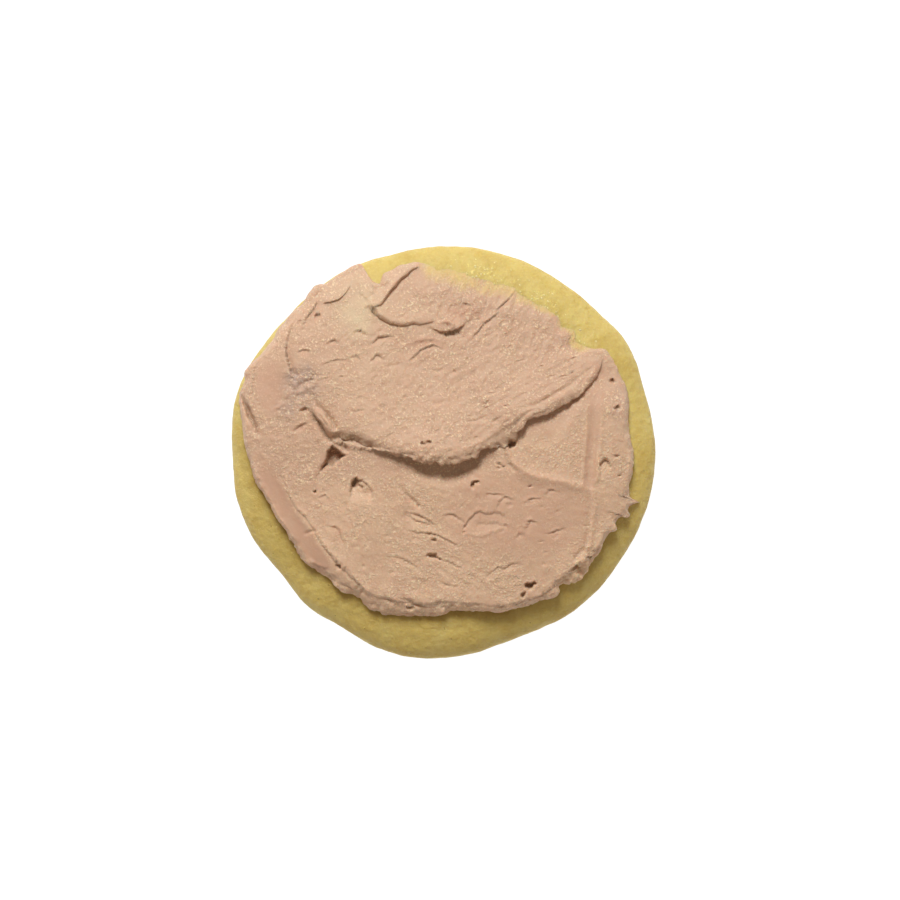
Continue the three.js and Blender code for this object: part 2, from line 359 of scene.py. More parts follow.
@dataclass
class Palette:
    """Builds up one material's colour, layer by layer, on the piece's own coordinates."""

    tree: bpy.types.NodeTree
    colour: Socket | tuple[float, float, float, float]

    @property
    def place(self) -> Socket:
        """Object coordinates, in metres."""
        return add_node(self.tree, "ShaderNodeTexCoord").outputs["Object"]

    def cloud(
        self, size: float, detail: float = 2.0, roughness: float = 0.5, drawn_out: float = 1.0,
        turn: float = 0.0,
    ) -> Socket:
        """Cloudy noise from 0 to 1.

        Args:
            size: width of one cloud in mm.
            detail: how many finer layers it has.
            roughness: how strong the finer layers are.
            drawn_out: how many times longer it is along Y.
            turn: degrees that Y is turned by, clockwise, before it is drawn out.

        Returns:
            The noise.
        """
        place = self.place
        if drawn_out != 1.0:
            inputs = {"Vector": place, "Angle": math.radians(turn)}
            turned = add_node(self.tree, "ShaderNodeVectorRotate", inputs, rotation_type="Z_AXIS")
            inputs = {"Vector": turned.outputs[0], "Scale": (1.0, 1.0 / drawn_out, 1.0)}
            place = add_node(self.tree, "ShaderNodeMapping", inputs).outputs[0]
        layers = {"Detail": detail, "Roughness": roughness}
        inputs = {"Vector": place, "Scale": 1 / (size * MM), **layers}
        return add_node(self.tree, "ShaderNodeTexNoise", inputs).outputs["Fac"]

    def ramp(
        self, value: Socket, low: float, high: float, top: float = 1.0, bottom: float = 0.0
    ) -> Socket:
        """Stretches low to high over bottom to top, and stops at both ends."""
        inputs = {0: value, 1: low, 2: high, 3: bottom, 4: top}
        return add_node(self.tree, "ShaderNodeMapRange", inputs, clamp=True).outputs[0]

    def product(self, *shares: Mask | Socket | float) -> Socket:
        """Multiplies shares, where a mask stands for the values that the shape gives it.

        Args:
            *shares: numbers, sockets, or masks that the shape fills in.

        Returns:
            The product.
        """
        total: Socket | float = 1.0
        for share in shares:
            if isinstance(share, Mask):
                attribute = add_node(self.tree, "ShaderNodeAttribute", attribute_name=share.value)
                share = attribute.outputs["Fac"]
            inputs = {0: total, 1: share}
            total = add_node(self.tree, "ShaderNodeMath", inputs, operation="MULTIPLY").outputs[0]
        return total

    def heap(self, part: Socket, *shares: Mask | Socket | float) -> Socket:
        """Adds a product of shares to another value."""
        inputs = {0: part, 1: self.product(*shares)}
        return add_node(self.tree, "ShaderNodeMath", inputs, operation="ADD").outputs[0]

    def lay(self, colour: str, *shares: Mask | Socket | float) -> None:
        """Lays a colour over what is there.

        Args:
            colour: sRGB hex.
            *shares: how much of it shows, as numbers from 0 to 1 that are multiplied.
        """
        inputs = {0: self.product(*shares), 6: self.colour, 7: linear(colour)}
        self.colour = add_node(self.tree, "ShaderNodeMix", inputs, data_type="RGBA").outputs[2]

    def relief(self, *layers: tuple[Socket, float, Socket | float]) -> Socket:
        """Relief that is too fine for the mesh.

        Args:
            *layers: height from 0 to 1, depth in mm and how much of it shows, lowest layer first.

        Returns:
            The bent normal.
        """
        under: Inputs = {}
        for height, depth, strength in layers:
            inputs = {"Height": height, "Distance": depth * MM, "Strength": strength} | under
            under = {"Normal": add_node(self.tree, "ShaderNodeBump", inputs).outputs["Normal"]}
        return under["Normal"]


def new_material(name: str) -> bpy.types.Material:
    """Makes a material with no nodes.

    Args:
        name: the material's name.

    Returns:
        The new material.
    """
    material = bpy.data.materials.new(name)
    material.use_nodes = True
    material.node_tree.nodes.clear()
    return material


def close_material(tree: bpy.types.NodeTree, inputs: Inputs) -> None:
    """Ends a material's tree in one Principled shader."""
    shader = add_node(tree, "ShaderNodeBsdfPrincipled", inputs)
    add_node(tree, "ShaderNodeOutputMaterial", {"Surface": shader.outputs[0]})


@dataclass(frozen=True)
class SugarCookieDough:
    """Baked sugar-cookie dough: butter, sugar, egg and flour, baked pale and still soft.

    The crumb lets light in, so it glows a clear butter yellow and its shadows turn golden. The
    butter leaves a faint greasy sheen, and only the foot, which met the tray, has browned.
    """

    name: str = "baked_sugar_cookie_dough"
    dough: str = "#d6bd70"
    pale: str = "#dfcb82"
    deep: str = "#c9ab5c"
    baked: str = "#bb9049"
    fleck: str = "#8a6a35"
    # Colour of the painted glints of the sugar grains.
    sugar: str = "#f0dc84"
    # Colour of the painted shadow that the icing casts on the dough.
    painted_icing_shadow: str = "#a98a44"
    grain: float = 0.55

    def build(self) -> bpy.types.Material:
        """Makes the material.

        Returns:
            The finished material.
        """
        material = new_material(self.name)
        tree = material.node_tree
        palette = Palette(tree, linear(self.dough))
        palette.lay(self.pale, palette.ramp(palette.cloud(5.5, 3), 0.45, 0.72, 0.7))
        palette.lay(self.deep, palette.ramp(palette.cloud(5.0, 4, 0.6), 0.48, 0.7, 0.65))
        palette.lay(self.pale, palette.ramp(palette.cloud(self.grain, 2), 0.52, 0.75, 0.5))
        palette.lay(self.deep, palette.ramp(palette.cloud(1.7, 3, 0.6), 0.52, 0.72, 0.5))
        palette.lay(self.baked, Mask.FOOT, 0.55)
        # Painted shadow: the icing's shadow on the crumb, darkest along the icing's lower edge.
        patchy = palette.ramp(palette.cloud(2.0, 3), 0.3, 0.6, 1.0, 0.6)
        palette.lay(self.painted_icing_shadow, Mask.PAINTED_ICING_SHADOW, patchy, 0.95)
        # Painted glints: lighter specks where undissolved sugar, wetted by butter, catches the
        # light.
        grains = palette.heap(palette.cloud(0.7, 2, 0.6), Mask.SUGAR, 0.15)
        grains = palette.ramp(grains, 0.66, 0.78)
        palette.lay(self.sugar, grains, 0.7)
        # Flecks of browned sugar, 0.3 mm across and a centimetre or so apart.
        palette.lay(self.fleck, palette.ramp(palette.cloud(0.7, 0), 0.83, 0.87, 0.6))
        pores = (palette.cloud(self.grain, 3, 0.6), 0.2, 0.5)
        lumps = (palette.cloud(1.6, 3), 0.5, 0.8)
        close_material(tree, {
            "Base Color": palette.colour,
            "Roughness": palette.ramp(grains, 0.0, 1.0, 0.35, 0.58),
            "Specular IOR Level": 0.35,
            "Subsurface Weight": 0.5,
            "Subsurface Radius": (1.0, 0.75, 0.28),
            "Subsurface Scale": 2.2 * MM,
            "IOR": 1.45,
            "Normal": palette.relief(pores, lumps),
        })
        return material


@dataclass(frozen=True)
class Buttercream:
    """Beaten buttercream, spread with a knife: icing sugar in butter, tinted peach.

    The fat makes it satin and lets a little light in. The undissolved sugar's glints are painted as
    lighter specks, except where the blade pressed it smooth, and where it is a film the dough
    shows.
    """

    name: str = "beaten_buttercream"
    cream: str = "#cfab91"
    # Colour of the painted glints of the sugar grains.
    light: str = "#f2d8b4"
    # Paler colour: painted light below the main lip, and the icing's own paler patches.
    paler_and_painted_light: str = "#dcb99b"
    rosy: str = "#cba189"
    rose: str = "#c4957c"
    mauve: str = "#b99d90"
    straw: str = "#d8c2a0"
    # Colour of the painted light on the outer wall.
    torn: str = "#eac5a2"
    # Colour of the painted shade.
    hollow: str = "#94725a"
    film: str = "#dcc27c"
    grain: float = 0.44

    def build(self) -> bpy.types.Material:
        """Makes the material.

        Returns:
            The finished material.
        """
        material = new_material(self.name)
        tree = material.node_tree
        palette = Palette(tree, linear(self.cream))
        # Painted light below the main lip, evening out the light's fall towards -Y, and paler
        # patches.
        palette.lay(self.paler_and_painted_light, Mask.PALER_AND_PAINTED_LIGHT, 0.6)
        palette.lay(self.rosy, palette.ramp(palette.cloud(6.0, 4, 0.6), 0.46, 0.72, 0.4))
        palette.lay(self.rose, Mask.ROSE)
        palette.lay(self.rosy, Mask.PRESSED, 0.7)
        palette.lay(self.mauve, Mask.MAUVE)
        palette.lay(self.straw, Mask.STRAW)
        # Painted light: lightens the shaded outer wall, most at the crumbled corner.
        palette.lay(self.torn, Mask.PAINTED_WALL_LIGHT, 0.45)
        # Painted shade in pits, holes, narrow grooves, under the main lip and on its face.
        palette.lay(self.hollow, Mask.PAINTED_SHADE, 0.6)
        patchy = palette.ramp(palette.cloud(4.0, 2), 0.35, 0.62, 1.0, 0.3)
        # The blade closes the grain where it presses.
        unpressed = palette.ramp(palette.product(Mask.PRESSED), 0.0, 1.0, 0.15, 1.0)
        open_grain = palette.product(unpressed, patchy)
        # Painted glints: lighter specks 0.4 mm wide, for sugar grains of 0.1 mm, so that they show.
        painted_glints = palette.ramp(palette.cloud(self.grain, 2, 0.6), 0.55, 0.66)
        painted_glints = palette.product(painted_glints, open_grain)
        palette.lay(self.light, painted_glints, 0.84)
        # The film is thickest between the streaks that the blade dragged.
        streaks = palette.cloud(0.7, 3, 0.65, 2.8, 20.0)
        palette.lay(self.film, palette.ramp(palette.heap(streaks, Mask.FILM), 0.7, 1.6, 0.85))
        grains = (palette.cloud(self.grain, 2, 0.6), 0.3, open_grain)
        lumps = (palette.cloud(1.3, 3), 0.3, palette.product(open_grain, 0.6))
        close_material(tree, {
            "Base Color": palette.colour,
            "Roughness": palette.ramp(painted_glints, 0.0, 1.0, 0.36, 0.6),
            "Specular IOR Level": 0.35,
            "Subsurface Weight": 0.45,
            "Subsurface Radius": (1.0, 0.55, 0.35),
            "Subsurface Scale": 1.1 * MM,
            "IOR": 1.46,
            "Normal": palette.relief(grains, lumps),
        })
        return material


@dataclass(frozen=True)
class SugarGrains:
    """Grains of sugar that rose to the dough's top: clear, melted round, and wet with butter."""

    name: str = "melted_sugar_grains"
    sugar: str = "#f3df92"
    pale: str = "#fbeeb4"

    def build(self) -> bpy.types.Material:
        """Makes the material.

        Returns:
            The finished material.
        """
        material = new_material(self.name)
        palette = Palette(material.node_tree, linear(self.sugar))
        palette.lay(self.pale, palette.ramp(palette.cloud(1.5, 1), 0.45, 0.7, 0.7))
        close_material(material.node_tree, {
            "Base Color": palette.colour,
            "Roughness": 0.45,
            "Subsurface Weight": 0.5,
            "Subsurface Radius": (1.0, 0.8, 0.4),
            "Subsurface Scale": 0.8 * MM,
            "IOR": 1.5,
        })
        return material


# ---- the cookie -----------------------------------------------------------------------------


@dataclass
class Cookie:
    """The round of dough: flat base, bulging side, and a low dome that the oven left uneven."""

    radius: float = 42.2
    shoulder_height: float = 9.2
    dome_rise: float = 3.0
    widest_height: float = 4.4
    shoulder_start: float = 0.72
    foot_start: float = 0.9
    roundness: float = 2.3
    # Where the outline swells or flattens: angle from +X and width in degrees, size in mm.
    bulges: tuple[tuple[float, float, float], ...] = (
        (3, 17, 0.8), (30, 11, 1.3), (90, 14, -0.3), (104, 9, -0.6), (130, 18, -0.4),
        (165, 14, 1.3), (193, 11, 0.6), (218, 9, -1.1), (240, 9, -1.1), (291, 15, -1.5),
        (345, 18, 0.6),
    )
    # Slow swells of the top: height in mm, radians per mm of x and of y, and start.
    swells: tuple[tuple[float, float, float, float], ...] = (
        (0.13, 0.11, 0.09, 1.3), (0.11, 0.05, -0.14, 0.4), (0.12, 0.2, -0.16, 2.2),
    )
    # Where sugar lies thick on the dough, beside the icing.
    sugar_patches: tuple[Spot, ...] = (
        Spot(7.6, 37.2, 4.2, 4.2), Spot(20.8, 30.9, 2.8, 2.8, 0.9),
        Spot(14.5, 33.6, 3.0, 3.0, 0.4), Spot(29.8, 24.6, 2.6, 2.6, 0.4),
    )
    # How far the sugar and the icing's painted shadow reach from the icing's edge, in mm.
    sugar_reach: float = 2.6
    painted_shadow_reach: float = 1.9
    around: int = 400
    crown_rings: int = 66
    shoulder_rings: int = 40
    foot_rings: int = 14
    base_rings: int = 4

    def outline(self, angle: Array) -> Array:
        """Measures from the axis to the outline.

        Args:
            angle: directions in radians.

        Returns:
            Distances in mm.
        """
        total = np.full_like(angle, self.radius)
        for at, width, size in self.bulges:
            turn = np.abs((np.degrees(angle) - at + 180.0) % 360.0 - 180.0)
            total += size * fall(turn, width)
        return total

    def round_over(self, share: Array) -> Array:
        """Falls from 1 to 0 with an upright tangent, as a quarter of a superellipse does."""
        return (1.0 - np.clip(share, 0.0, 1.0) ** self.roundness) ** (1.0 / self.roundness)

    def top(self, plan: Array, limit: float = 1.0) -> Array:
        """Height of the top over points of the plan.

        Args:
            plan: x and y in mm.
            limit: share of the radius past which the height no longer falls.

        Returns:
            Heights in mm.
        """
        x, y = plan.T
        share = np.minimum(limit, np.hypot(x, y) / self.outline(np.arctan2(y, x)))
        swell = sum(high * np.sin(ax * x + ay * y + start) for high, ax, ay, start in self.swells)
        crown = self.shoulder_height + self.dome_rise * (1 - share**2) + swell * (1 - share**4)
        over = (share - self.shoulder_start) / (1 - self.shoulder_start)
        return self.widest_height + (crown - self.widest_height) * self.round_over(over)

    def profile(self) -> list[tuple[float, bool]]:
        """Lists the rings, from the base's middle round to the top's.

        Returns:
            For each, its share of the radius, and whether it lies on the top.
        """
        rings = [(self.foot_start * i / self.base_rings, False) for i in range(self.base_rings + 1)]
        foot = (self.foot_start, self.foot_rings, False)
        shoulder = (self.shoulder_start, self.shoulder_rings, True)
        for start, count, on_top in (foot, shoulder):
            turn = np.sin(np.linspace(0.0, math.pi / 2, count + 1))
            shares = [(start + (1 - start) * t, on_top) for t in turn]
            rings += shares[-2::-1] if on_top else shares[1:]
        inwards = range(self.crown_rings - 1, -1, -1)
        return rings + [(self.shoulder_start * i / self.crown_rings, True) for i in inwards]

    def build(
        self, finish: SugarCookieDough, outside: Callable[[Array], Array]
    ) -> bpy.types.Object:
        """Makes the cookie.

        Args:
            finish: the dough's finish.
            outside: gives points' distance in mm beyond the icing's outline.

        Returns:
            The finished piece, with the relief of its crumb in the mesh.
        """
        rings = self.profile()
        angle = np.linspace(0.0, 2 * math.pi, self.around, endpoint=False)
        outline = self.outline(angle)
        spokes = np.column_stack([np.cos(angle), np.sin(angle)]) * outline[:, None]
        layers = []
        for share, on_top in rings[1:-1]:
            plan = share * spokes
            over = (share - self.foot_start) / (1 - self.foot_start)
            foot = self.widest_height * (1 - self.round_over(np.full(self.around, over)))
            layers.append(np.column_stack([plan, self.top(plan) if on_top else foot]))
        middle = self.top(np.zeros((1, 2)))[0]
        points = np.vstack([[[0.0, 0.0, 0.0]], *layers, [[0.0, 0.0, middle]]])
        loops = 1 + np.arange(len(layers) * self.around).reshape(len(layers), -1)
        quads = [bridge(lower, upper)[:, ::-1] for lower, upper in zip(loops, loops[1:])]
        caps = [fan(loops[0], 0), fan(loops[-1], len(points) - 1)[:, ::-1]]
        height = points[:, 2]
        masks = {
            Mask.FOOT: 1 - smoothstep(height, 0.3, 3.4),
            Mask.RELIEF: smoothstep(height, 0.0, 2.0),
            **self.edge_masks(points, outside(points[:, :2])),
        }
        piece = make_object("dough", points, [*quads, *caps], finish.build(), masks)
        return DoughRelief(piece.data.materials[0]).apply(piece)

    def edge_masks(self, points: Array, outside: Array) -> dict[Mask, Array]:
        """What changes along the icing's edge: sugar grains above, painted shadow of the icing
        below.

        Args:
            points: the dough's points.
            outside: their distance in mm beyond the icing's outline.

        Returns:
            Point attributes by name.
        """
        x, y, z = points.T
        on_top = z > self.widest_height + 0.5
        near = fall(np.maximum(outside - 0.6, 0.0), self.sugar_reach) * (outside > -2.5)
        sugar = near * sum(patch.over(points) for patch in self.sugar_patches)
        # The painted shadow lies on the lower side, away from the light, and is weaker on the
        # right.
        lower = smoothstep(-y - 0.25 * x, -2.0, 16.0) * mix(1.0, 0.5, smoothstep(x, 10.0, 24.0))
        painted_icing_shadow = fall(np.maximum(outside, 0.0), self.painted_shadow_reach, 1.3) * lower
        return {
            Mask.SUGAR: np.where(on_top, np.clip(sugar, 0.0, 1.0), 0.0),
            Mask.PAINTED_ICING_SHADOW: np.where(on_top, painted_icing_shadow, 0.0),
        }


@dataclass
class GeometryTree:
    """A Geometry Nodes tree with named inputs, put on a piece and then turned into plain mesh."""

    finish: bpy.types.Material
    inputs: dict[str, float]

    def start(self, name: str) -> bpy.types.NodeTree:
        """Makes the tree with its named inputs.

        Args:
            name: the tree's name.

        Returns:
            The new tree.
        """
        tree = bpy.data.node_groups.new(name, "GeometryNodeTree")
        tree.interface.new_socket("Geometry", in_out="INPUT", socket_type="NodeSocketGeometry")
        for label, value in self.inputs.items():
            kind = "NodeSocketInt" if isinstance(value, int) else "NodeSocketFloat"
            socket = tree.interface.new_socket(label, in_out="INPUT", socket_type=kind)
            socket.default_value = value
        tree.interface.new_socket("Geometry", in_out="OUTPUT", socket_type="NodeSocketGeometry")
        return tree

    def finish_up(
        self, tree: bpy.types.NodeTree, geometry: Socket, carrier: bpy.types.Object, name: str
    ) -> bpy.types.Object:
        """Closes the tree, runs it on a piece and keeps the result as plain mesh.

        Args:
            tree: the tree.
            geometry: what it makes.
            carrier: the piece that the tree reads.
            name: the new piece's name.

        Returns:
            The new piece, with no modifier on it.
        """
        real = add_node(tree, "GeometryNodeRealizeInstances", {"Geometry": geometry})
        painted = add_node(
            tree, "GeometryNodeSetMaterial", {"Geometry": real.outputs[0], "Material": self.finish}
        )
        add_node(tree, "NodeGroupOutput", {"Geometry": painted.outputs[0]})
        modifier = carrier.modifiers.new(name, "NODES")
        modifier.node_group = tree
        for item in tree.interface.items_tree:
            if item.in_out == "INPUT" and item.name in self.inputs:
                modifier[item.identifier] = self.inputs[item.name]
        depsgraph = bpy.context.evaluated_depsgraph_get()
        evaluated = carrier.evaluated_get(depsgraph)
        mesh = bpy.data.meshes.new_from_object(evaluated, depsgraph=depsgraph)
        carrier.modifiers.remove(modifier)
        mesh.name = name
        mesh.shade_smooth()
        piece = bpy.data.objects.new(name, mesh)
        bpy.context.scene.collection.objects.link(piece)
        return piece


@dataclass
class DoughRelief(GeometryTree):
    """The dough's crumb: soft lumps and fine pores, pushed along the surface's normal."""

    inputs: dict[str, float] = field(default_factory=lambda: {
        "Lump size": 5.0 * MM, "Lump height": 0.6 * MM,
        "Crumb size": 1.1 * MM, "Crumb height": 0.13 * MM,
    })

    def apply(self, piece: bpy.types.Object) -> bpy.types.Object:
        """Presses the crumb into the dough.

        Args:
            piece: the smooth round of dough, which is used up.

        Returns:
            The dough with its relief.
        """
        tree = self.start("dough_relief")
        given = add_node(tree, "NodeGroupInput").outputs
        place = add_node(tree, "GeometryNodeInputPosition").outputs[0]
        total: Socket | float = 0.0
        for kind in ("Lump", "Crumb"):
            inputs = {0: 1.0, 1: given[f"{kind} size"]}
            scale = add_node(tree, "ShaderNodeMath", inputs, operation="DIVIDE").outputs[0]
            inputs = {"Vector": place, "Scale": scale, "Detail": 3.0}
            cloud = add_node(tree, "ShaderNodeTexNoise", inputs).outputs["Fac"]
            inputs = {0: cloud, 1: 0.5}
            centred = add_node(tree, "ShaderNodeMath", inputs, operation="SUBTRACT").outputs[0]
            inputs = {0: centred, 1: given[f"{kind} height"], 2: total}
            total = add_node(tree, "ShaderNodeMath", inputs, operation="MULTIPLY_ADD").outputs[0]
        inputs = {"Name": Mask.RELIEF.value}
        mask = add_node(tree, "GeometryNodeInputNamedAttribute", inputs, data_type="FLOAT")
        inputs = {0: total, 1: mask.outputs[0]}
        height = add_node(tree, "ShaderNodeMath", inputs, operation="MULTIPLY")
        inputs = {0: add_node(tree, "GeometryNodeInputNormal").outputs[0], 3: height.outputs[0]}
        push = add_node(tree, "ShaderNodeVectorMath", inputs, operation="SCALE")
        offset = {"Geometry": given["Geometry"], "Offset": push.outputs[0]}
        moved = add_node(tree, "GeometryNodeSetPosition", offset)
        result = self.finish_up(tree, moved.outputs[0], piece, "cookie_dough")
        bpy.data.objects.remove(piece)
        return result


@dataclass
class SugarScatter(GeometryTree):
    """Grains of sugar strewn over the dough, as thick as its sugar mask says."""

    inputs: dict[str, float] = field(default_factory=lambda: {
        "Most per square metre": 1.0 / MM**2, "Smallest": 0.3 * MM, "Largest": 0.6 * MM, "Seed": 7,
    })
    # Its length, width and height, as shares of its size.
    shape: tuple[float, float, float] = (1.0, 0.8, 0.4)
    # Share of its width that a grain is sunk by, how far it leans in radians, and how uneven it is.
    sunk: float = 0.2
    lean: float = 0.4
    unevenness: float = 0.21 * MM

    def scatter(self, carrier: bpy.types.Object) -> bpy.types.Object:
        """Strews the grains.

        Args:
            carrier: the piece that they lie on.

        Returns:
            All the grains, as one plain mesh.
        """
        tree = self.start("sugar_grains")
        given = add_node(tree, "NodeGroupInput").outputs
        inputs = {"Name": Mask.SUGAR.value}
        mask = add_node(tree, "GeometryNodeInputNamedAttribute", inputs, data_type="FLOAT")
        inputs = {0: mask.outputs[0], 1: given["Most per square metre"]}
        density = add_node(tree, "ShaderNodeMath", inputs, operation="MULTIPLY").outputs[0]
        spread = add_node(tree, "GeometryNodeDistributePointsOnFaces", {
            "Mesh": given["Geometry"], "Density": density, "Seed": given["Seed"],
        }).outputs
        inputs = {"Segments": 8, "Rings": 5, "Radius": 0.5}
        ball = add_node(tree, "GeometryNodeMeshUVSphere", inputs).outputs["Mesh"]
        inputs = {"Geometry": ball, "Translation": (0.0, 0.0, -self.sunk)}
        grain = add_node(tree, "GeometryNodeTransform", inputs)
        size = add_node(tree, "FunctionNodeRandomValue", {
            2: given["Smallest"], 3: given["Largest"], "Seed": given["Seed"],
        }, data_type="FLOAT")
        flat = add_node(tree, "ShaderNodeCombineXYZ", dict(enumerate(self.shape))).outputs[0]
        inputs = {0: flat, 3: size.outputs[1]}
        scale = add_node(tree, "ShaderNodeVectorMath", inputs, operation="SCALE")
        placed = add_node(tree, "GeometryNodeInstanceOnPoints", {
            "Points": spread["Points"], "Instance": grain.outputs[0],
            "Rotation": spread["Rotation"], "Scale": scale.outputs[0],
        })
        spin = add_node(tree, "FunctionNodeRandomValue", {
            0: (0.0, 0.0, 0.0), 1: (self.lean, self.lean, 2 * math.pi), "Seed": given["Seed"],
        }, data_type="FLOAT_VECTOR")
        turned = add_node(tree, "GeometryNodeRotateInstances", {
            "Instances": placed.outputs[0], "Rotation": spin.outputs[0],
        })
        real = add_node(tree, "GeometryNodeRealizeInstances", {"Geometry": turned.outputs[0]})
        place = add_node(tree, "GeometryNodeInputPosition").outputs[0]
        cloud = {"Vector": place, "Scale": 1 / (0.4 * MM), "Detail": 1.0}
        bent = add_node(tree, "ShaderNodeTexNoise", cloud).outputs["Color"]
        inputs = {0: bent, 1: (0.5, 0.5, 0.5)}
        bent = add_node(tree, "ShaderNodeVectorMath", inputs, operation="SUBTRACT").outputs[0]
        inputs = {0: bent, 3: self.unevenness}
        bent = add_node(tree, "ShaderNodeVectorMath", inputs, operation="SCALE")
        moved = {"Geometry": real.outputs[0], "Offset": bent.outputs[0]}
        moved = add_node(tree, "GeometryNodeSetPosition", moved).outputs[0]
        return self.finish_up(tree, moved, carrier, "sugar_grains")


# ---- the icing ------------------------------------------------------------------------------


@dataclass(frozen=True)
class Stroke:
    """A low ridge, or a groove where its height is below zero, that the knife left.

    Each knot is x, y and height. It falls away over `left` mm on the left of its path and over
    `right` mm on the right, where `other` is the share of its height: below zero, a torn step.
    The higher `flat` is, the flatter its top and the steeper its flanks. Past `cut_off` times
    its width it adds nothing.
    """

    knots: tuple[tuple[float, float, float], ...]
    left: float
    right: float
    other: float = 1.0
    flat: float = 1.6
    cut_off: float = 3.2
    steps: int = 10

    def height(self, plan: Array) -> Array:
        """What the stroke adds to the icing's height over the plan.

        Args:
            plan: x and y in mm.

        Returns:
            Heights in mm.
        """
        path = smooth_path(np.array(self.knots), self.steps)
        margin = self.cut_off * max(self.left, self.right)
        low, high = path[:, :2].min(axis=0) - margin, path[:, :2].max(axis=0) + margin
        close = ((plan > low) & (plan < high)).all(axis=1)
        near = beside(path, plan[close])
        flank = fall(near.distance, np.where(near.left, self.left, self.right), self.flat)
        total = np.zeros(len(plan))
        total[close] = near.values[:, 0] * flank * np.where(near.left, 1.0, self.other)
        return total


@dataclass(frozen=True)
class Fold:
    """A lip where the icing rolled over itself: a slope up to a crest, a face, and an undercut.

    Each knot is x, y, height of the crest, width of the face, and how much of the height is
    left at the face's edge. The high side is on the left of the path.
    """

    knots: tuple[tuple[float, float, float, float, float], ...]
    slope: float
    reach: float
    overhang: float
    ragged: float
    fade: float = 0.06
    rag: Lumps = Lumps(1.0, 1.5, 11, 3)
    steps: int = 14
    # The crest's torn edge: its width in mm, and how torn it is beside the face.
    crest_width: float = 1.2
    crest_torn: float = 0.6
    # The lip's cross-section, from the crest at 0 to the lower icing at 1.
    at: tuple[float, ...] = (0.0, 0.12, 0.26, 0.38, 0.47, 0.56, 0.66, 0.78, 1.0)
    along_face: tuple[float, ...] = (0.0, 0.42, 0.82, 1.0, 1.0, 1.0, 1.0, 1.0, 0.0)
    tucked: tuple[float, ...] = (0.0, 0.0, 0.0, 0.0, -0.25, -0.8, -1.0, -0.4, 0.0)
    beyond: tuple[float, ...] = (0.0, 0.0, 0.0, 0.0, 0.0, 0.0, 0.0, 0.08, 1.0)
    stands: tuple[float, ...] = (1.0, 1.02, 1.0, 0.92, 0.56, 0.26, 0.08, 0.0, 0.0)
    droops: tuple[float, ...] = (0.0, 0.25, 0.8, 1.0, 0.9, 0.6, 0.2, 0.0, 0.0)

    def curve(self, shape: tuple[float, ...], share: Array) -> Array:
        """Reads one row of the cross-section smoothly.

        Args:
            shape: the row.
            share: where to read it, from 0 to 1.

        Returns:
            One value for each share.
        """
        fine = np.linspace(0.0, 1.0, 301)
        straight = np.interp(fine, self.at, shape)
        window = np.hanning(27)
        before = 2 * straight[0] - straight[13:0:-1]
        after = 2 * straight[-1] - straight[-2:-15:-1]
        padded = np.concatenate([before, straight, after])
        return np.interp(share, fine, np.convolve(padded, window / window.sum(), "valid"))

    def roll(self, plan: Array) -> tuple[Array, Array, Array]:
        """Rolls the icing over.

        Args:
            plan: where the icing's points lie before.

        Returns:
            Where they lie after, the height that the lip adds, and how much each is on the face.
        """
        path = smooth_path(np.array(self.knots), self.steps)
        near = beside(path, plan)
        height, face, droop = near.values.T
        rag = self.rag.at(near.foot)
        face = face * (1 + self.ragged * rag)
        inside = smoothstep(np.minimum(near.share, 1 - near.share), 0.0, self.fade)
        # Where the lip is low, it also reaches less far out over the lower icing.
        reach = self.reach * np.clip(1.6 * height / path[:, 2].max(), 0.25, 1.0)
        share = np.clip(near.distance / reach, 0.0, 1.0)
        tuck = self.overhang * height * (1 + 0.5 * rag)
        offset = (
            face * self.curve(self.along_face, share)
            + tuck * self.curve(self.tucked, share)
            + reach * self.curve(self.beyond, share)
        )
        low = (~near.left) & (near.distance < reach)
        scale = np.where(low, mix(1.0, offset / np.maximum(near.distance, 1e-6), inside), 1.0)
        moved = near.foot + (plan - near.foot) * scale[:, None]
        drop = self.curve(self.stands, share) * mix(1.0, droop, self.curve(self.droops, share))
        slope = fall(near.distance, self.slope, 1.5)
        lift = height * np.where(near.left, slope, np.where(low, drop, 0.0))
        on_face = smoothstep(share, 0.02, 0.12) * (1 - smoothstep(share, 0.55, 0.8)) * low
        behind = self.crest_torn * fall(near.distance, self.crest_width)
        crest = np.where(near.left, behind, on_face)
        return moved, lift, crest * inside * np.clip(height / 1.4, 0.0, 1.0)


@dataclass(frozen=True)
class Pit:
    """A torn hole or a burst air bubble: centre, length along `turn` degrees, width and depth."""

    x: float
    y: float
    length: float
    width: float
    turn: float
    depth: float
    # From this depth a pit is a hole with a steep edge, and above it a shallow scoop.
    steep_from: float = 0.55
    # Its raised rim: height as a share of the depth, and where it lies and how wide it is.
    rim: float = 0.1
    rim_at: float = 1.4
    rim_width: float = 0.3

    def sink(self, plan: Array) -> Array:
        """Sinks the icing: a torn scoop, deep at its upper wall and rising towards -Y.

        Args:
            plan: x and y in mm.

        Returns:
            Depths in mm.
        """
        angle = math.radians(self.turn)
        dx, dy = plan[:, 0] - self.x, plan[:, 1] - self.y
        along = (dx * math.cos(angle) + dy * math.sin(angle)) / (self.length / 2)
        across = (dy * math.cos(angle) - dx * math.sin(angle)) / (self.width / 2)
        far = np.hypot(along, across)
        if self.depth > self.steep_from:
            scoop, edge = 0.8 + 0.45 * across, 1 - smoothstep(far, 0.75, 1.15)
        else:
            scoop, edge = np.clip(0.65 + 0.6 * across, 0.1, 1.2), 1 - smoothstep(far, 0.7, 1.2)
        rim = self.rim * fall(far - self.rim_at, self.rim_width) * (across > 0)
        return self.depth * (edge * scoop - rim)


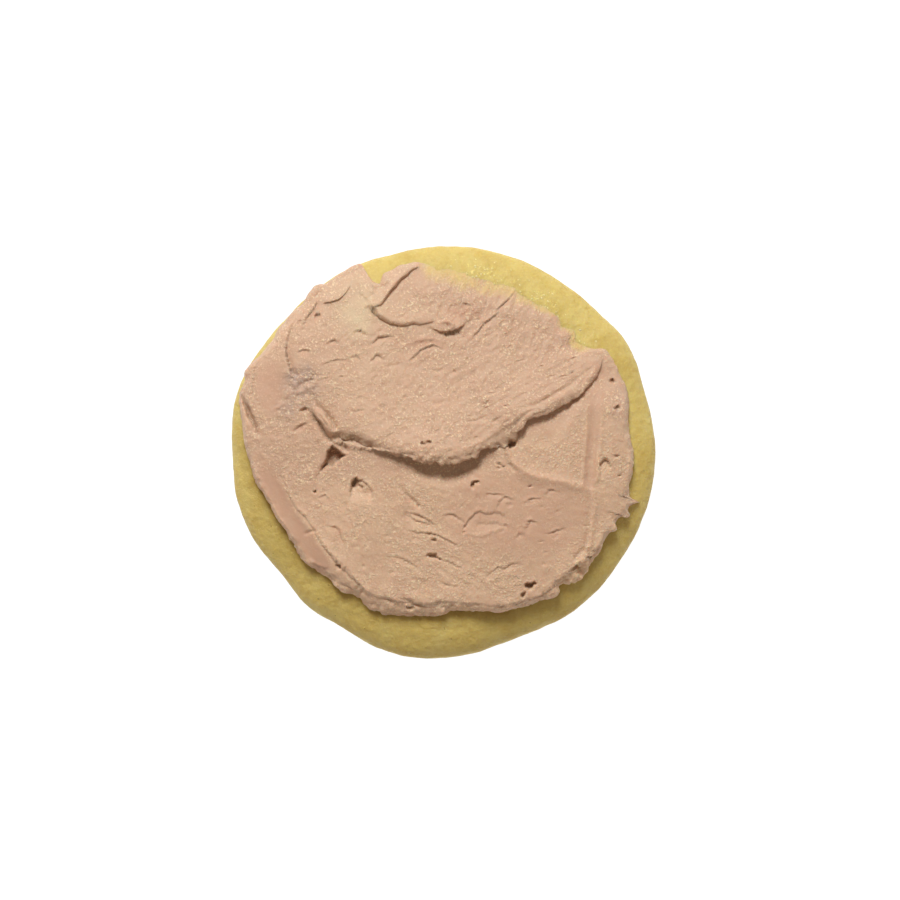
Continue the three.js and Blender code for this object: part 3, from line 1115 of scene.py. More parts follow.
@dataclass(frozen=True)
class Hole:
    """A hole torn through the icing: its edge in mm, and its depth."""

    knots: tuple[tuple[float, float], ...]
    depth: float
    # Which way the floor rises, and over how many mm.
    rises: tuple[float, float] = (-0.7, -0.7)
    run: float = 3.0
    # The wall, from just outside the edge to its foot, in mm.
    wall: tuple[float, float] = (-0.12, 0.4)

    def sink(self, plan: Array) -> Array:
        """How far it sinks the icing over the plan.

        Args:
            plan: x and y in mm.

        Returns:
            Depths in mm.
        """
        ring = np.array([*self.knots, self.knots[0]])
        distance = beside(ring, plan).distance
        x, y = plan.T
        inside = np.zeros(len(plan), bool)
        for (ax, ay), (bx, by) in zip(ring, ring[1:]):
            inside ^= ((ay > y) != (by > y)) & (x < ax + (y - ay) / (by - ay + 1e-9) * (bx - ax))
        deep = smoothstep(np.where(inside, distance, -distance), *self.wall)
        floor = (plan - ring[:-1].mean(axis=0)) @ np.array(self.rises) / self.run
        return self.depth * deep * np.clip(0.8 - 0.5 * floor, 0.35, 1.2)


@dataclass
class Icing:
    """The spread of buttercream: a thick first pass, and a second that rolls into a lip."""

    cookie: Cookie
    centre: tuple[float, float] = (-1.5, 2.0)
    thick: float = 3.1
    thin: float = 0.9
    thinnest: float = 0.12
    # Grooves narrower than this, in mm, get painted shade as if they were deep.
    narrow: float = 0.6
    feather_direction: tuple[float, float] = (0.35, 0.94)
    feather_from: float = 6.0
    feather_to: float = 32.0
    feather_width: float = 5.0
    # The main lip's right end, the way it points, and the spot past it where no film begins.
    lip_end: tuple[float, float] = (31.0, 17.0)
    lip_heading: tuple[float, float] = (0.87, -0.5)
    lip_tip: tuple[float, float] = (31.6, 19.2)
    # Share of the thickness left at the film's edge, its streaks, and how drawn out they are.
    film_left: float = 0.32
    film_streaks: Lumps = Lumps(0.1, 0.55, 65)
    streak_length: float = 2.8
    wall_roundness: float = 2.3
    sink: float = 0.25
    # Past this share of the cookie's radius the icing is stiff enough to stand out over the rim.
    overhangs_from: float = 0.975
    # Painted shade under the main lip: its path, its width in mm, and how dark it is.
    under_lip: tuple[tuple[float, float], ...] = (
        (-9.0, -1.6), (-4.0, -3.0), (1.5, -3.4), (6.0, -2.4), (9.0, -0.6),
    )
    under_lip_width: float = 1.8
    under_lip_painted_shade: float = 0.5
    cells: int = 268
    wall_rings: int = 17
    # Rings of the underside, as shares of the way out from its middle.
    base_shares: tuple[float, ...] = (0.93, 0.7, 0.35)
    # Width of the wall, from the outline up to the full height, by angle from +X in degrees.
    walls: tuple[tuple[float, float], ...] = (
        (0, 1.5), (20, 1.5), (30, 1.5), (110, 1.2), (114, 1.6), (135, 1.6), (160, 1.2), (185, 0.9),
        (205, 0.8), (225, 1.3), (242, 2.0), (256, 2.4), (266, 2.0), (276, 1.5), (286, 1.2),
        (296, 1.3), (308, 1.2), (313, 1.8), (318, 2.6), (322, 2.2), (326, 1.2), (332, 0.8),
        (341, 0.9), (346, 0.8), (350, 1.2), (360, 1.5),
    )
    outline_knots: tuple[tuple[float, float], ...] = (
        (38.6, 0.0), (38.0, 3.2), (37.6, 6.5), (37.8, 9.3), (37.4, 12.2), (36.1, 15.6),
        (34.3, 18.9), (32.8, 20.8), (30.3, 21.0), (27.4, 22.6), (26.7, 24.8), (24.7, 25.6),
        (24.1, 27.6), (22.7, 28.8), (19.1, 30.6), (16.0, 32.3), (14.6, 33.7), (10.7, 34.7),
        (7.2, 35.8), (3.9, 36.6), (0.5, 37.6), (-3.4, 38.2), (-5.6, 38.5), (-8.6, 37.8),
        (-10.6, 36.9), (-11.9, 36.1), (-12.5, 35.0), (-12.8, 34.3), (-14.0, 34.6), (-14.9, 35.6),
        (-15.9, 37.3), (-16.6, 38.2), (-18.9, 37.4), (-21.0, 36.1), (-23.3, 34.4), (-25.5, 33.9),
        (-27.3, 31.9), (-28.5, 30.2), (-30.6, 28.3), (-32.3, 26.2), (-34.2, 23.1), (-36.7, 19.9),
        (-38.3, 18.4), (-39.9, 16.7), (-40.1, 14.5), (-41.1, 12.0), (-40.9, 8.2), (-40.1, 2.0),
        (-39.1, -2.0), (-37.9, -5.7), (-35.8, -9.2), (-34.0, -12.5), (-31.0, -17.2), (-29.1, -20.3),
        (-28.2, -22.0), (-24.9, -24.0), (-22.1, -26.4), (-20.9, -27.9), (-17.3, -29.1),
        (-14.5, -31.9), (-10.8, -32.7), (-5.2, -33.1), (-1.5, -33.1), (2.1, -32.1), (7.6, -32.1),
        (11.8, -32.5), (15.8, -31.5), (19.6, -29.9), (22.2, -29.6), (23.4, -28.5), (23.5, -27.2),
        (25.2, -26.4), (28.2, -25.5), (28.9, -24.0), (30.4, -21.7), (31.8, -20.2), (32.5, -18.6),
        (33.7, -16.4), (35.3, -15.8), (35.1, -14.3), (36.4, -13.0), (37.5, -13.4), (38.0, -12.8),
        (37.6, -12.0), (37.8, -10.9), (38.7, -10.5), (40.1, -10.2), (38.8, -9.7), (38.1, -9.2),
        (37.9, -7.3), (38.5, -4.1),
    )
    folds: tuple[Fold, ...] = (
        # Main lip.
        Fold((
            (-22.9, 3.9, 0.0, 0.5, 0.8), (-21.2, 4.5, 1.4, 1.5, 0.25), (-16.7, 4.0, 1.9, 1.9, 0.2),
            (-12.7, 2.2, 2.2, 1.9, 0.25), (-8.0, 0.9, 2.7, 1.8, 0.5), (-4.5, 0.1, 3.3, 2.1, 0.85),
            (-1.1, 0.1, 3.5, 2.4, 0.92), (2.4, 0.1, 3.5, 2.4, 0.92), (5.3, 0.8, 3.1, 2.1, 0.88),
            (8.2, 2.0, 2.2, 1.5, 0.75), (10.3, 3.5, 1.6, 3.4, 0.1), (12.0, 4.7, 1.6, 3.4, 0.3),
            (13.4, 5.9, 2.2, 2.9, 0.8), (16.2, 7.8, 2.4, 2.1, 0.8), (20.0, 9.1, 2.3, 1.9, 0.75),
            (24.4, 11.2, 2.1, 1.7, 0.7), (27.6, 13.4, 1.8, 1.5, 0.65), (29.6, 15.0, 1.4, 1.3, 0.6),
            (30.9, 16.6, 1.0, 0.9, 0.6), (31.5, 17.9, 0.6, 0.6, 0.7), (31.9, 19.2, 0.1, 0.4, 0.9),
        ), slope=9.0, reach=5.0, overhang=0.3, ragged=0.32, fade=0.04),
        # Lobe ridge.
        Fold((
            (-14.0, 29.7, 0.5, 0.4, 0.5), (-12.6, 30.2, 0.9, 0.5, 0.4),
            (-11.4, 31.9, 1.2, 0.5, 0.4), (-8.9, 34.9, 1.2, 0.5, 0.4), (-6.6, 37.0, 0.9, 0.4, 0.4),
            (-4.8, 38.0, 0.3, 0.4, 0.6),
        ), slope=1.6, reach=2.0, overhang=0.15, ragged=0.2, fade=0.06),
        # Lobe lip.
        Fold((
            (-14.4, 29.8, 0.5, 0.7, 0.4), (-12.9, 28.2, 1.2, 0.8, 0.35),
            (-10.0, 26.5, 1.1, 0.8, 0.35), (-5.6, 26.4, 0.7, 0.7, 0.35),
            (-1.2, 26.9, 0.4, 0.5, 0.5),
        ), slope=3.0, reach=2.4, overhang=0.15, ragged=0.12, fade=0.08),
        # Small fold.
        Fold((
            (-2.2, 25.2, 0.2, 0.3, 0.8), (0.0, 24.9, 0.9, 0.6, 0.8), (2.2, 25.2, 1.2, 0.6, 0.8),
            (4.4, 26.2, 0.3, 0.3, 0.8),
        ), slope=1.7, reach=2.2, overhang=0.35, ragged=0.3, fade=0.12),
        # Upper flap.
        Fold((
            (-24.6, 30.2, 0.1, 0.2, 0.8), (-23.4, 30.5, 0.5, 0.3, 0.8),
            (-21.2, 31.1, 0.6, 0.3, 0.8), (-19.7, 32.4, 0.35, 0.2, 0.8),
            (-18.7, 34.2, 0.1, 0.2, 0.8),
        ), slope=1.8, reach=1.7, overhang=0.3, ragged=0.4, fade=0.15),
    )
    strokes: tuple[Stroke, ...] = (
        # Crater bowl.
        Stroke(((5.6, -14.8, -0.1), (8.0, -14.2, -0.3), (11.4, -13.9, -0.2)), 1.4, 1.4),
        # Left crater.
        Stroke(((-17.6, -7.4, -0.7), (-15.6, -8.3, -0.6)), 1.3, 1.2),
        # Crater rim.
        Stroke((
            (4.3, -16.4, 0.15), (6.7, -17.0, 0.2), (8.9, -16.6, 0.2), (11.1, -15.9, 0.2),
            (12.6, -15.0, 0.15),
        ), 0.5, 0.35, 0.3),
        # Hollow under lip.
        Stroke((
            (-9.0, -2.2, 0.0), (-4.0, -3.6, -0.7), (1.5, -4.2, -0.9), (6.0, -3.0, -0.6),
            (9.0, -0.6, 0.0),
        ), 1.8, 1.8),
        # Flange crease.
        Stroke((
            (7.8, 0.7, -0.1), (10.0, 2.7, -0.35), (13.7, 4.9, -0.5), (15.7, 6.7, -0.6),
            (17.3, 8.0, -0.4), (19.0, 8.7, -0.2),
        ), 0.3, 0.3),
        # Lobe ridge back.
        Stroke(((-15.0, 30.8, -0.3), (-13.9, 32.2, -0.5), (-12.8, 33.4, -0.4)), 0.4, 0.4),
        # Lobe nick.
        Stroke(((-12.4, 33.3, -0.3), (-11.4, 33.8, -0.6), (-10.8, 34.2, -0.3)), 0.35, 0.4),
        # Lift off ridge.
        Stroke((
            (12.9, 0.4, 0.4), (13.7, -1.3, 0.7), (15.0, -2.7, 0.8), (18.2, -4.7, 0.65),
            (22.2, -5.5, 0.55), (25.9, -6.3, 0.55), (29.1, -7.1, 0.45),
        ), 0.7, 1.4),
        # Under lift off.
        Stroke(((12.8, -0.8, -0.3), (13.4, -2.4, -0.5), (14.4, -3.7, -0.3)), 0.4, 0.5),
        # Blade mark.
        Stroke(((31.0, 12.4, -0.1), (30.4, 4.5, -0.35), (29.5, -6.4, -0.35)), 1.3, 1.2),
        # Blade mark edge.
        Stroke(((29.2, 11.6, 0.1), (28.9, 2.0, 0.25), (28.1, -6.4, 0.3)), 0.4, 0.35),
        # Blade mark bank.
        Stroke(((32.4, 10.0, 0.1), (31.9, 2.0, 0.25), (31.0, -6.0, 0.3)), 0.35, 0.6),
        # Lower line.
        Stroke((
            (30.3, -7.3, 0.2), (30.7, -11.0, 0.3), (30.1, -15.4, 0.4), (29.7, -18.7, 0.5),
            (27.3, -21.1, 0.4),
        ), 0.45, 0.4),
        # Lower groove.
        Stroke((
            (29.6, -6.9, -0.1), (29.5, -15.0, -0.25), (29.2, -18.2, -0.4), (28.4, -19.8, -0.7),
            (26.8, -21.4, -0.5),
        ), 0.4, 0.4),
        # Ribbon.
        Stroke((
            (-25.9, 8.7, 0.3), (-24.7, 7.2, 1.3), (-23.3, 5.4, 1.5), (-22.3, 4.0, 0.9),
        ), 0.9, 0.7, 1.0, 3.0),
        # Ribbon foot.
        Stroke((
            (-26.4, 8.3, -0.5), (-25.5, 6.8, -1.3), (-24.3, 5.0, -1.4), (-23.3, 3.4, -1.4),
            (-22.5, 2.5, -1.0),
        ), 0.3, 0.6),
        # Ribbon line.
        Stroke(((-25.3, 8.2, -0.3), (-24.2, 6.8, -0.8), (-23.2, 5.4, -0.7)), 0.25, 0.4),
        # Ribbon back.
        Stroke((
            (-25.1, 9.4, -0.3), (-23.7, 8.0, -0.8), (-22.2, 6.2, -0.9), (-21.5, 4.9, -0.6),
        ), 0.4, 0.4),
        # Lip ribbon.
        Stroke((
            (-22.0, 2.2, 0.4), (-19.0, 1.4, 0.9), (-16.0, 0.8, 1.0), (-12.0, 0.2, 1.0),
            (-8.5, -0.5, 0.7), (-6.0, -1.2, 0.2),
        ), 0.45, 0.4, 0.4),
        # Pressed band.
        Stroke((
            (-36.8, 0.2, -0.1), (-34.9, -5.7, -0.45), (-33.0, -9.7, -0.5), (-31.0, -13.0, -0.5),
            (-28.9, -16.0, -0.45), (-24.6, -22.6, -0.25),
        ), 1.7, 1.6, 1.0, 3.0),
        # Pressed cheek.
        Stroke(((-38.0, 16.0, -0.1), (-34.6, 12.6, -0.35), (-33.4, 7.2, -0.1)), 3.0, 3.0),
        # Band crest.
        Stroke((
            (-32.1, -4.9, 0.2), (-30.1, -10.5, 0.35), (-26.9, -13.9, 0.4), (-25.0, -17.3, 0.45),
            (-21.0, -22.4, 0.4), (-15.1, -28.2, 0.3),
        ), 0.8, 0.55, -0.5),
        # Band side crease.
        Stroke(((-27.4, -16.5, -0.3), (-26.6, -16.1, -0.4), (-25.9, -16.0, -0.3)), 0.3, 0.3),
        # Foot crease.
        Stroke((
            (-25.4, -23.2, -0.2), (-23.5, -24.8, -0.5), (-21.5, -26.2, -0.6), (-18.3, -27.5, -0.5),
            (-16.5, -28.4, -0.2),
        ), 0.35, 0.5),
        # Foot crest.
        Stroke((
            (-24.9, -18.2, 0.1), (-19.0, -23.7, 0.3), (-15.3, -28.1, 0.4), (-9.9, -29.9, 0.5),
            (-3.9, -30.6, 0.5), (0.6, -30.2, 0.4), (7.6, -30.7, 0.3), (12.0, -31.0, 0.4),
            (16.4, -30.0, 0.5), (21.0, -28.2, 0.5), (23.4, -26.0, 0.5), (26.3, -23.3, 0.5),
            (29.2, -20.8, 0.5), (31.5, -18.9, 0.4), (33.4, -15.9, 0.2),
        ), 2.0, 0.5, 0.2),
        # Foot ledge.
        Stroke((
            (-27.0, -21.0, -0.3), (-20.0, -27.4, -0.8), (-14.0, -31.2, -0.9), (-5.0, -32.6, -0.8),
            (2.0, -32.3, -0.6), (9.0, -32.6, -0.3), (14.0, -32.2, -0.3), (22.0, -29.6, -0.3),
        ), 1.9, 2.5),
        # Second crease.
        Stroke((
            (-8.6, -29.6, -0.2), (-7.0, -30.0, -0.6), (-5.0, -30.8, -0.7), (-2.6, -31.3, -0.4),
            (0.2, -31.2, -0.1),
        ), 0.35, 0.6),
        # Short crease.
        Stroke(((-12.2, -29.3, -0.2), (-11.3, -29.6, -0.5), (-10.3, -30.2, -0.4)), 0.35, 0.5),
        # Swath edge.
        Stroke((
            (-25.7, 29.9, -0.7), (-26.5, 28.5, -0.8), (-27.6, 27.1, -0.6), (-28.5, 24.6, -0.2),
        ), 0.45, 0.8, -0.5),
        # Swath fold.
        Stroke((
            (-30.4, 26.0, -0.3), (-31.4, 22.8, -0.6), (-31.6, 20.4, -0.75), (-31.2, 18.2, -0.9),
            (-30.4, 15.8, -0.8),
        ), 0.65, 1.3, -0.5),
        # Lip crease.
        Stroke((
            (16.4, 8.8, -0.15), (19.6, 9.9, -0.4), (21.6, 11.2, -0.45), (24.8, 12.9, -0.4),
            (28.0, 15.5, -0.3), (30.4, 17.4, -0.1),
        ), 0.35, 0.4),
        # Thin spike.
        Stroke((
            (36.2, -8.6, 0.0), (38.0, -9.3, -1.1), (39.2, -9.8, -1.9), (40.8, -10.4, -2.2),
        ), 1.5, 1.5, 1.0, 2.0),
        # Thin jag.
        Stroke(((36.4, -11.6, 0.0), (37.1, -12.4, -0.6), (38.0, -13.4, -1.3)), 1.2, 1.2, 1.0, 2.0),
        # Edge wedge.
        Stroke((
            (-40.6, 11.4, -0.8), (-39.6, 8.9, -1.7), (-38.5, 6.5, -1.6), (-37.4, 3.8, -0.6),
        ), 0.5, 0.5),
        # Edge wedge lip.
        Stroke(((-39.5, 10.8, 0.2), (-38.5, 8.3, 0.4), (-37.2, 5.4, 0.2)), 0.5, 0.3),
        # Cheek line.
        Stroke((
            (-37.0, 18.8, -0.1), (-38.1, 16.6, -0.3), (-38.5, 14.0, -0.35), (-38.1, 11.0, -0.3),
            (-36.9, 8.6, -0.1),
        ), 0.45, 0.5, -0.6),
        # Comma.
        Stroke((
            (-6.2, 18.8, 0.3), (-4.5, 20.5, 0.4), (-1.9, 21.5, 0.4), (-0.7, 21.2, 0.2),
        ), 0.7, 0.4, -1.0),
        # Smear by comma.
        Stroke(((-6.4, 22.0, 0.2), (-3.4, 23.0, 0.35), (-0.4, 22.6, 0.2)), 0.7, 0.4),
        # Upper right crease.
        Stroke((
            (15.2, 33.4, -0.2), (13.6, 31.3, -0.6), (11.9, 29.7, -0.45), (10.6, 28.5, -0.1),
        ), 0.35, 0.7, -0.7),
        # Upper right step.
        Stroke((
            (11.4, 28.4, -0.1), (10.6, 27.6, -0.45), (8.6, 26.0, -0.4), (6.8, 24.1, -0.3),
            (5.6, 22.6, -0.1),
        ), 0.35, 0.7, -0.7),
        # Small knob.
        Stroke(((-0.6, 26.0, 0.4), (0.8, 26.4, 0.9), (2.0, 25.9, 0.6)), 0.8, 0.6),
        # Upright crease.
        Stroke(((-1.3, 7.5, -0.1), (-1.8, 5.9, -0.2), (-2.2, 3.6, -0.2)), 0.3, 0.3),
        # Middle arc.
        Stroke((
            (-7.0, -15.9, 0.1), (-4.5, -16.1, 0.3), (-1.9, -16.4, 0.35), (0.2, -17.2, 0.35),
            (2.8, -18.6, 0.2),
        ), 0.5, 0.4, -0.8),
        # Scratch.
        Stroke(((-8.5, -7.2, -0.15), (-7.0, -8.6, -0.3), (-5.0, -10.9, -0.7)), 0.25, 0.3),
        # Upper crease.
        Stroke(((-12.0, 17.4, -0.2), (-10.4, 17.3, -0.25), (-8.5, 17.8, -0.1)), 0.3, 0.3),
        # Wisp.
        Stroke(((-2.0, 9.6, -0.1), (-0.6, 9.8, -0.25), (0.9, 10.4, -0.1)), 0.25, 0.35),
        # Wisp right.
        Stroke(((5.2, 6.2, -0.15), (7.0, 6.4, -0.25), (8.8, 7.1, -0.1)), 0.25, 0.35),
        # Tear tail.
        Stroke(((-23.6, -2.8, -0.7), (-24.9, -4.6, -0.35), (-25.5, -7.8, -0.3)), 0.35, 0.35),
    )
    pits: tuple[Pit, ...] = tuple(Pit(*row) for row in (
        (-19.9, 0.9, 2.4, 1.0, -40, 0.9), (32.8, -2.8, 1.9, 3.0, -5, 0.5),
        (-25.1, 27.5, 1.2, 0.8, 10, 1.2), (-23.8, 25.3, 1.0, 0.7, 0, 0.5),
        (-28.9, 26.2, 1.2, 0.8, 60, 0.5), (4.8, 29.6, 1.6, 0.8, 0, 0.5),
        (2.4, 16.1, 0.8, 0.7, 0, 0.4), (-4.0, 1.7, 1.3, 0.8, 10, 0.9),
        (-2.7, 2.0, 0.9, 0.8, 0, 0.9), (6.1, -6.8, 0.9, 1.5, 0, 1.3), (6.7, -6.1, 1.2, 0.7, 0, 1.0),
        (11.5, -2.5, 0.7, 0.6, 0, 0.8), (12.3, -3.0, 0.8, 0.6, 0, 0.8),
        (11.2, -3.4, 0.5, 0.5, 0, 0.7), (17.8, -6.9, 0.7, 0.6, 0, 0.7),
        (4.4, -15.1, 0.8, 0.7, 60, 0.6), (4.4, -16.2, 0.7, 0.6, 0, 0.5),
        (12.5, -14.8, 0.8, 0.6, -30, 0.5), (-1.6, -17.9, 1.2, 0.8, -10, 1.0),
        (-1.8, -21.0, 1.8, 1.1, -15, 1.2), (-0.9, -21.5, 1.2, 0.6, -35, 0.8),
        (-2.8, -20.9, 1.2, 0.6, 15, 0.6), (-17.6, -6.3, 2.0, 1.6, 62, 1.4),
        (-16.6, -7.0, 1.2, 0.8, -30, 0.8), (-25.7, -8.1, 0.7, 0.8, 0, 1.0),
        (-20.9, -23.1, 1.2, 0.9, -40, 0.9), (17.5, -27.1, 1.5, 1.5, 0, 1.6),
        (18.4, -26.6, 1.1, 1.0, 30, 1.3), (16.3, -28.9, 1.2, 1.0, 60, 1.1),
        (-6.6, -31.5, 1.5, 1.0, 0, 0.9), (35.1, -0.8, 0.8, 0.7, 0, 0.7),
        (35.9, -4.8, 0.7, 0.7, 0, 0.6), (34.3, 14.3, 1.2, 1.0, 0, 1.2),
        (35.4, 8.8, 1.0, 1.1, 0, 0.9), (-27.9, 8.3, 1.4, 1.2, 0, 0.8),
        (-28.6, 4.9, 3.1, 1.0, 35, 0.5), (-20.3, 15.0, 0.8, 0.7, 0, 0.4),
        (13.9, 1.6, 1.8, 1.4, 60, 2.1), (2.0, 23.7, 3.6, 1.0, 8, 0.6),
        (29.5, -21.3, 1.1, 0.8, -40, 1.1), (26.7, -23.5, 1.8, 0.7, 35, 0.8),
    ))
    holes: tuple[Hole, ...] = (
        Hole((
            (-22.1, 1.5), (-22.9, 0.6), (-23.2, -0.6), (-23.9, -2.2), (-24.7, -3.9), (-23.6, -3.2),
            (-22.0, -2.6), (-20.8, -1.7), (-19.5, -0.6), (-20.9, 0.3),
        ), 3.3, run=4.0),
        Hole((
            (-14.5, 29.8), (-14.4, 28.4), (-13.9, 27.2), (-13.0, 27.3), (-13.3, 28.6),
        ), 1.2),
    )
    # Small tears of the skin: how deep, then the path of the sharp upper edge, left to right.
    tears: tuple[tuple[Any, ...], ...] = (
        (0.42, (11.2, -10.6), (11.6, -9.5), (12.6, -9.0), (13.7, -9.4)),
        (0.32, (9.0, -8.4), (10.4, -8.3), (12.0, -8.5)),
        (0.48, (1.0, -12.5), (1.9, -12.3), (3.2, -13.2)),
        (0.48, (16.9, -15.2), (17.5, -13.6), (18.3, -13.9)),
        (0.48, (15.0, -16.8), (15.5, -16.2), (16.1, -16.4)),
        (0.48, (21.8, -16.1), (22.7, -15.8), (23.8, -15.5)),
        (0.4, (21.2, -8.0), (21.9, -7.5), (22.7, -7.7)),
        (0.38, (4.3, -15.0), (5.5, -13.4), (7.1, -12.0), (8.9, -12.3), (11.1, -12.1),
         (12.3, -12.8)),
        (0.26, (8.0, -14.4), (9.6, -14.3), (11.1, -14.3), (12.7, -14.9)),
        (0.34, (9.2, -24.6), (11.4, -23.1), (12.5, -23.3), (14.0, -22.4), (15.0, -22.5)),
        (0.32, (-0.1, -26.4), (1.2, -26.7), (2.4, -26.9)),
        (0.34, (0.4, -21.7), (2.0, -22.4), (3.6, -23.3)),
        (0.32, (-10.3, -21.0), (-7.8, -21.5), (-5.6, -22.8)),
        (0.48, (-7.0, -12.3), (-4.5, -12.6), (-1.9, -14.3)),
        (0.48, (-6.7, -12.9), (-5.2, -13.7), (-3.0, -14.3)),
        (0.32, (-19.2, -10.5), (-18.4, -14.0), (-17.5, -17.4)),
        (0.60, (-16.3, -5.9), (-15.0, -6.5), (-14.2, -8.0), (-14.0, -9.2)),
        (0.50, (31.7, -4.4), (31.6, -2.9), (32.2, -1.9), (33.0, -1.6), (33.7, -2.4), (33.9, -3.6)),
        (0.56, (-18.7, -8.6), (-18.4, -7.0), (-17.5, -5.9), (-16.5, -5.6)),
        (0.32, (16.9, -9.9), (18.0, -9.2), (19.2, -9.3)),
        (0.95, (-13.9, 22.4), (-12.7, 23.4), (-11.0, 23.5)),
        (0.85, (-14.0, 18.9), (-13.1, 19.6), (-12.1, 19.1)),
        (0.7, (-17.4, 24.3), (-16.8, 24.6), (-16.0, 24.2)),
        (0.8, (-22.8, 22.2), (-22.1, 22.6), (-21.3, 22.5)),
        (0.6, (-28.4, 20.6), (-27.8, 20.9), (-27.2, 20.4)),
        (0.6, (-18.1, 19.3), (-17.4, 19.6), (-16.9, 19.1)),
        (0.32, (-23.5, 17.9), (-22.0, 18.6), (-20.0, 18.7)),
        (0.40, (-24.4, -8.9), (-23.7, -8.6), (-22.9, -9.6)),
        (0.48, (-22.3, -14.9), (-21.4, -15.0), (-20.0, -17.9)),
    )
    # A tear's width above and below its edge, the height of its lower side, and the share of the
    # listed depth that is left at its ends and in between.
    tear_widths: tuple[float, float] = (0.4, 0.75)
    tear_step: float = -1.6
    tear_ends: float = 0.299
    tear_middle: float = 0.506
    # How ragged the outline, the strokes and the pits are.
    outline_rag: Lumps = Lumps(0.24, 1.8, 5, 3)
    outline_size: float = 37.0
    stroke_rag: tuple[Lumps, Lumps] = (Lumps(0.2, 1.0, 91), Lumps(0.2, 1.0, 93))
    pit_rag: tuple[Lumps, Lumps] = (Lumps(0.15, 0.6, 95, 1), Lumps(0.15, 0.6, 97, 1))
    # Drag marks of the blade: degrees from +X in the second pass and in the first, how many times
    # longer than wide they are, and their relief.
    drag_turns: tuple[float, float] = (31.0, -38.0)
    drag_length: float = 2.6
    drag_marks: tuple[Lumps, Lumps] = (Lumps(0.1, 0.7, 41), Lumps(0.065, 2.0, 43))
    fine_grain: Lumps = Lumps(0.1, 0.9, 45)
    coarse_grain: Lumps = Lumps(0.08, 2.2, 55)
    swell: Lumps = Lumps(0.1, 7.0, 47)
    # Patches of the upper left that had begun to crust, and wrinkled under the blade.
    crusted: tuple[Spot, ...] = (
        Spot(-28.4, 13.9, 3.7, 3.7, 1.0, 4.0), Spot(-31.5, 8.6, 2.7, 2.25, 0.7, 4.0),
    )
    crust_lumps: Lumps = Lumps(0.42, 1.0, 53)
    crease_depth: float = 0.3
    crease_width: float = 0.12
    torn_lumps: Lumps = Lumps(0.1, 0.8, 51)
    wall_lumps: tuple[Lumps, Lumps] = (Lumps(0.45, 2.2, 71), Lumps(0.26, 1.0, 73))
    lip_lumps: tuple[Lumps, Lumps] = (Lumps(0.42, 1.4, 75), Lumps(0.3, 0.7, 77, 1))
    # The corner of the wall that crumbled most, which also gets the most painted light.
    crumbled: Spot = Spot(27.5, -24.0, 4.5, 4.5)
    # Where the blade pressed the icing smooth: along two paths, and in two patches.
    pressed_band: tuple[tuple[float, float], ...] = (
        (-36.8, 1.0), (-34.9, -5.7), (-31.0, -13.0), (-28.9, -16.0), (-24.4, -22.8),
    )
    pressed_mark: tuple[tuple[float, float], ...] = ((31.0, 12.0), (30.4, 4.5), (29.5, -6.6))
    pressed_cheek: Spot = Spot(-34.6, 13.0, 3.6, 6.5, 0.75)
    pressed_lower: Spot = Spot(15.0, -12.0, 19.0, 11.0, 0.7)
    # Patches of colour: where the icing is straw-coloured, mauve, paler, and rosy.
    straw_spot: Spot = Spot(-17.2, 28.4, 4.6, 6.0, 0.8)
    mauve_spots: tuple[Spot, ...] = (
        Spot(-28.4, 13.9, 3.9, 4.1, 0.8, 4.0), Spot(-31.5, 8.6, 2.7, 2.2, 0.4, 4.0),
        Spot(36.0, 9.0, 1.8, 6.0, 0.3),
    )
    paler_spots: tuple[Spot, ...] = (
        Spot(-14.5, 12.5, 9.0, 9.0, 0.7), Spot(-8.0, 30.5, 5.5, 5.5, 0.5),
    )
    rose_spots: tuple[Spot, ...] = (
        Spot(-3.0, 22.2, 3.6, 0.9), Spot(4.3, 28.2, 2.4, 0.9), Spot(-28.2, 5.2, 1.8, 0.8),
        Spot(31.5, 16.2, 0.8, 1.7), Spot(-21.2, -16.4, 1.0, 1.6),
    )
    # A smear of thicker icing on the feathered edge, which hides the dough under it.
    smear: Spot = Spot(7.9, 35.0, 1.8, 1.08, 0.5)
    # Seeded bubbles and nicks: how many, the sizes and depths in mm, and the degrees from +X with
    # their spread. A nick's shape is its length, width and depth.
    bubbles: int = 150
    bubble_area: float = 33.0
    bubble_sizes: tuple[float, float] = (0.45, 1.3)
    bubble_depths: tuple[float, float] = (0.1, 0.28)
    bubble_turns: tuple[float, float] = (12.0, 20.0)
    nicks: int = 90
    nick_area: tuple[tuple[float, float], ...] = ((-20.0, -2.0), (28.0, 28.0))
    nick_shapes: tuple[tuple[float, float, float], ...] = ((0.8, 0.4, 0.12), (2.1, 0.6, 0.32))
    nick_turns: tuple[float, float] = (28.0, 13.0)
    seed: int = 21

    def radius(self, angle: Array) -> Array:
        """Measures from the icing's centre to its ragged outline.

        Args:
            angle: directions in radians.

        Returns:
            Distances in mm.
        """
        centred = np.array(self.outline_knots) - self.centre
        trace = smooth_path(centred, 24, closed=True)
        turn = np.unwrap(np.arctan2(trace[:, 1], trace[:, 0])) % (2 * math.pi)
        order = np.argsort(turn)
        smooth = np.interp(angle, turn[order], np.hypot(*trace.T)[order], period=2 * math.pi)
        ring = np.column_stack([np.cos(angle), np.sin(angle)]) * self.outline_size
        return smooth + self.outline_rag.at(ring)

    def outside(self, plan: Array) -> Array:
        """Distance in mm beyond the outline, below zero inside it."""
        away = plan - self.centre
        return np.hypot(*away.T) - self.radius(np.arctan2(away[:, 1], away[:, 0]))

    def feather(self, plan: Array) -> Array:
        """How feathered the icing is. The feathered edge ends at the lip's right end.

        Args:
            plan: x and y in mm.

        Returns:
            0 over the first pass, rising to 1 at the feathered edge.
        """
        along = plan @ np.array(self.feather_direction)
        beyond_lip = (plan - self.lip_end) @ np.array(self.lip_heading)
        feathered = smoothstep(along, self.feather_from, self.feather_to)
        return feathered * (1 - smoothstep(beyond_lip, -1.0, 1.5))

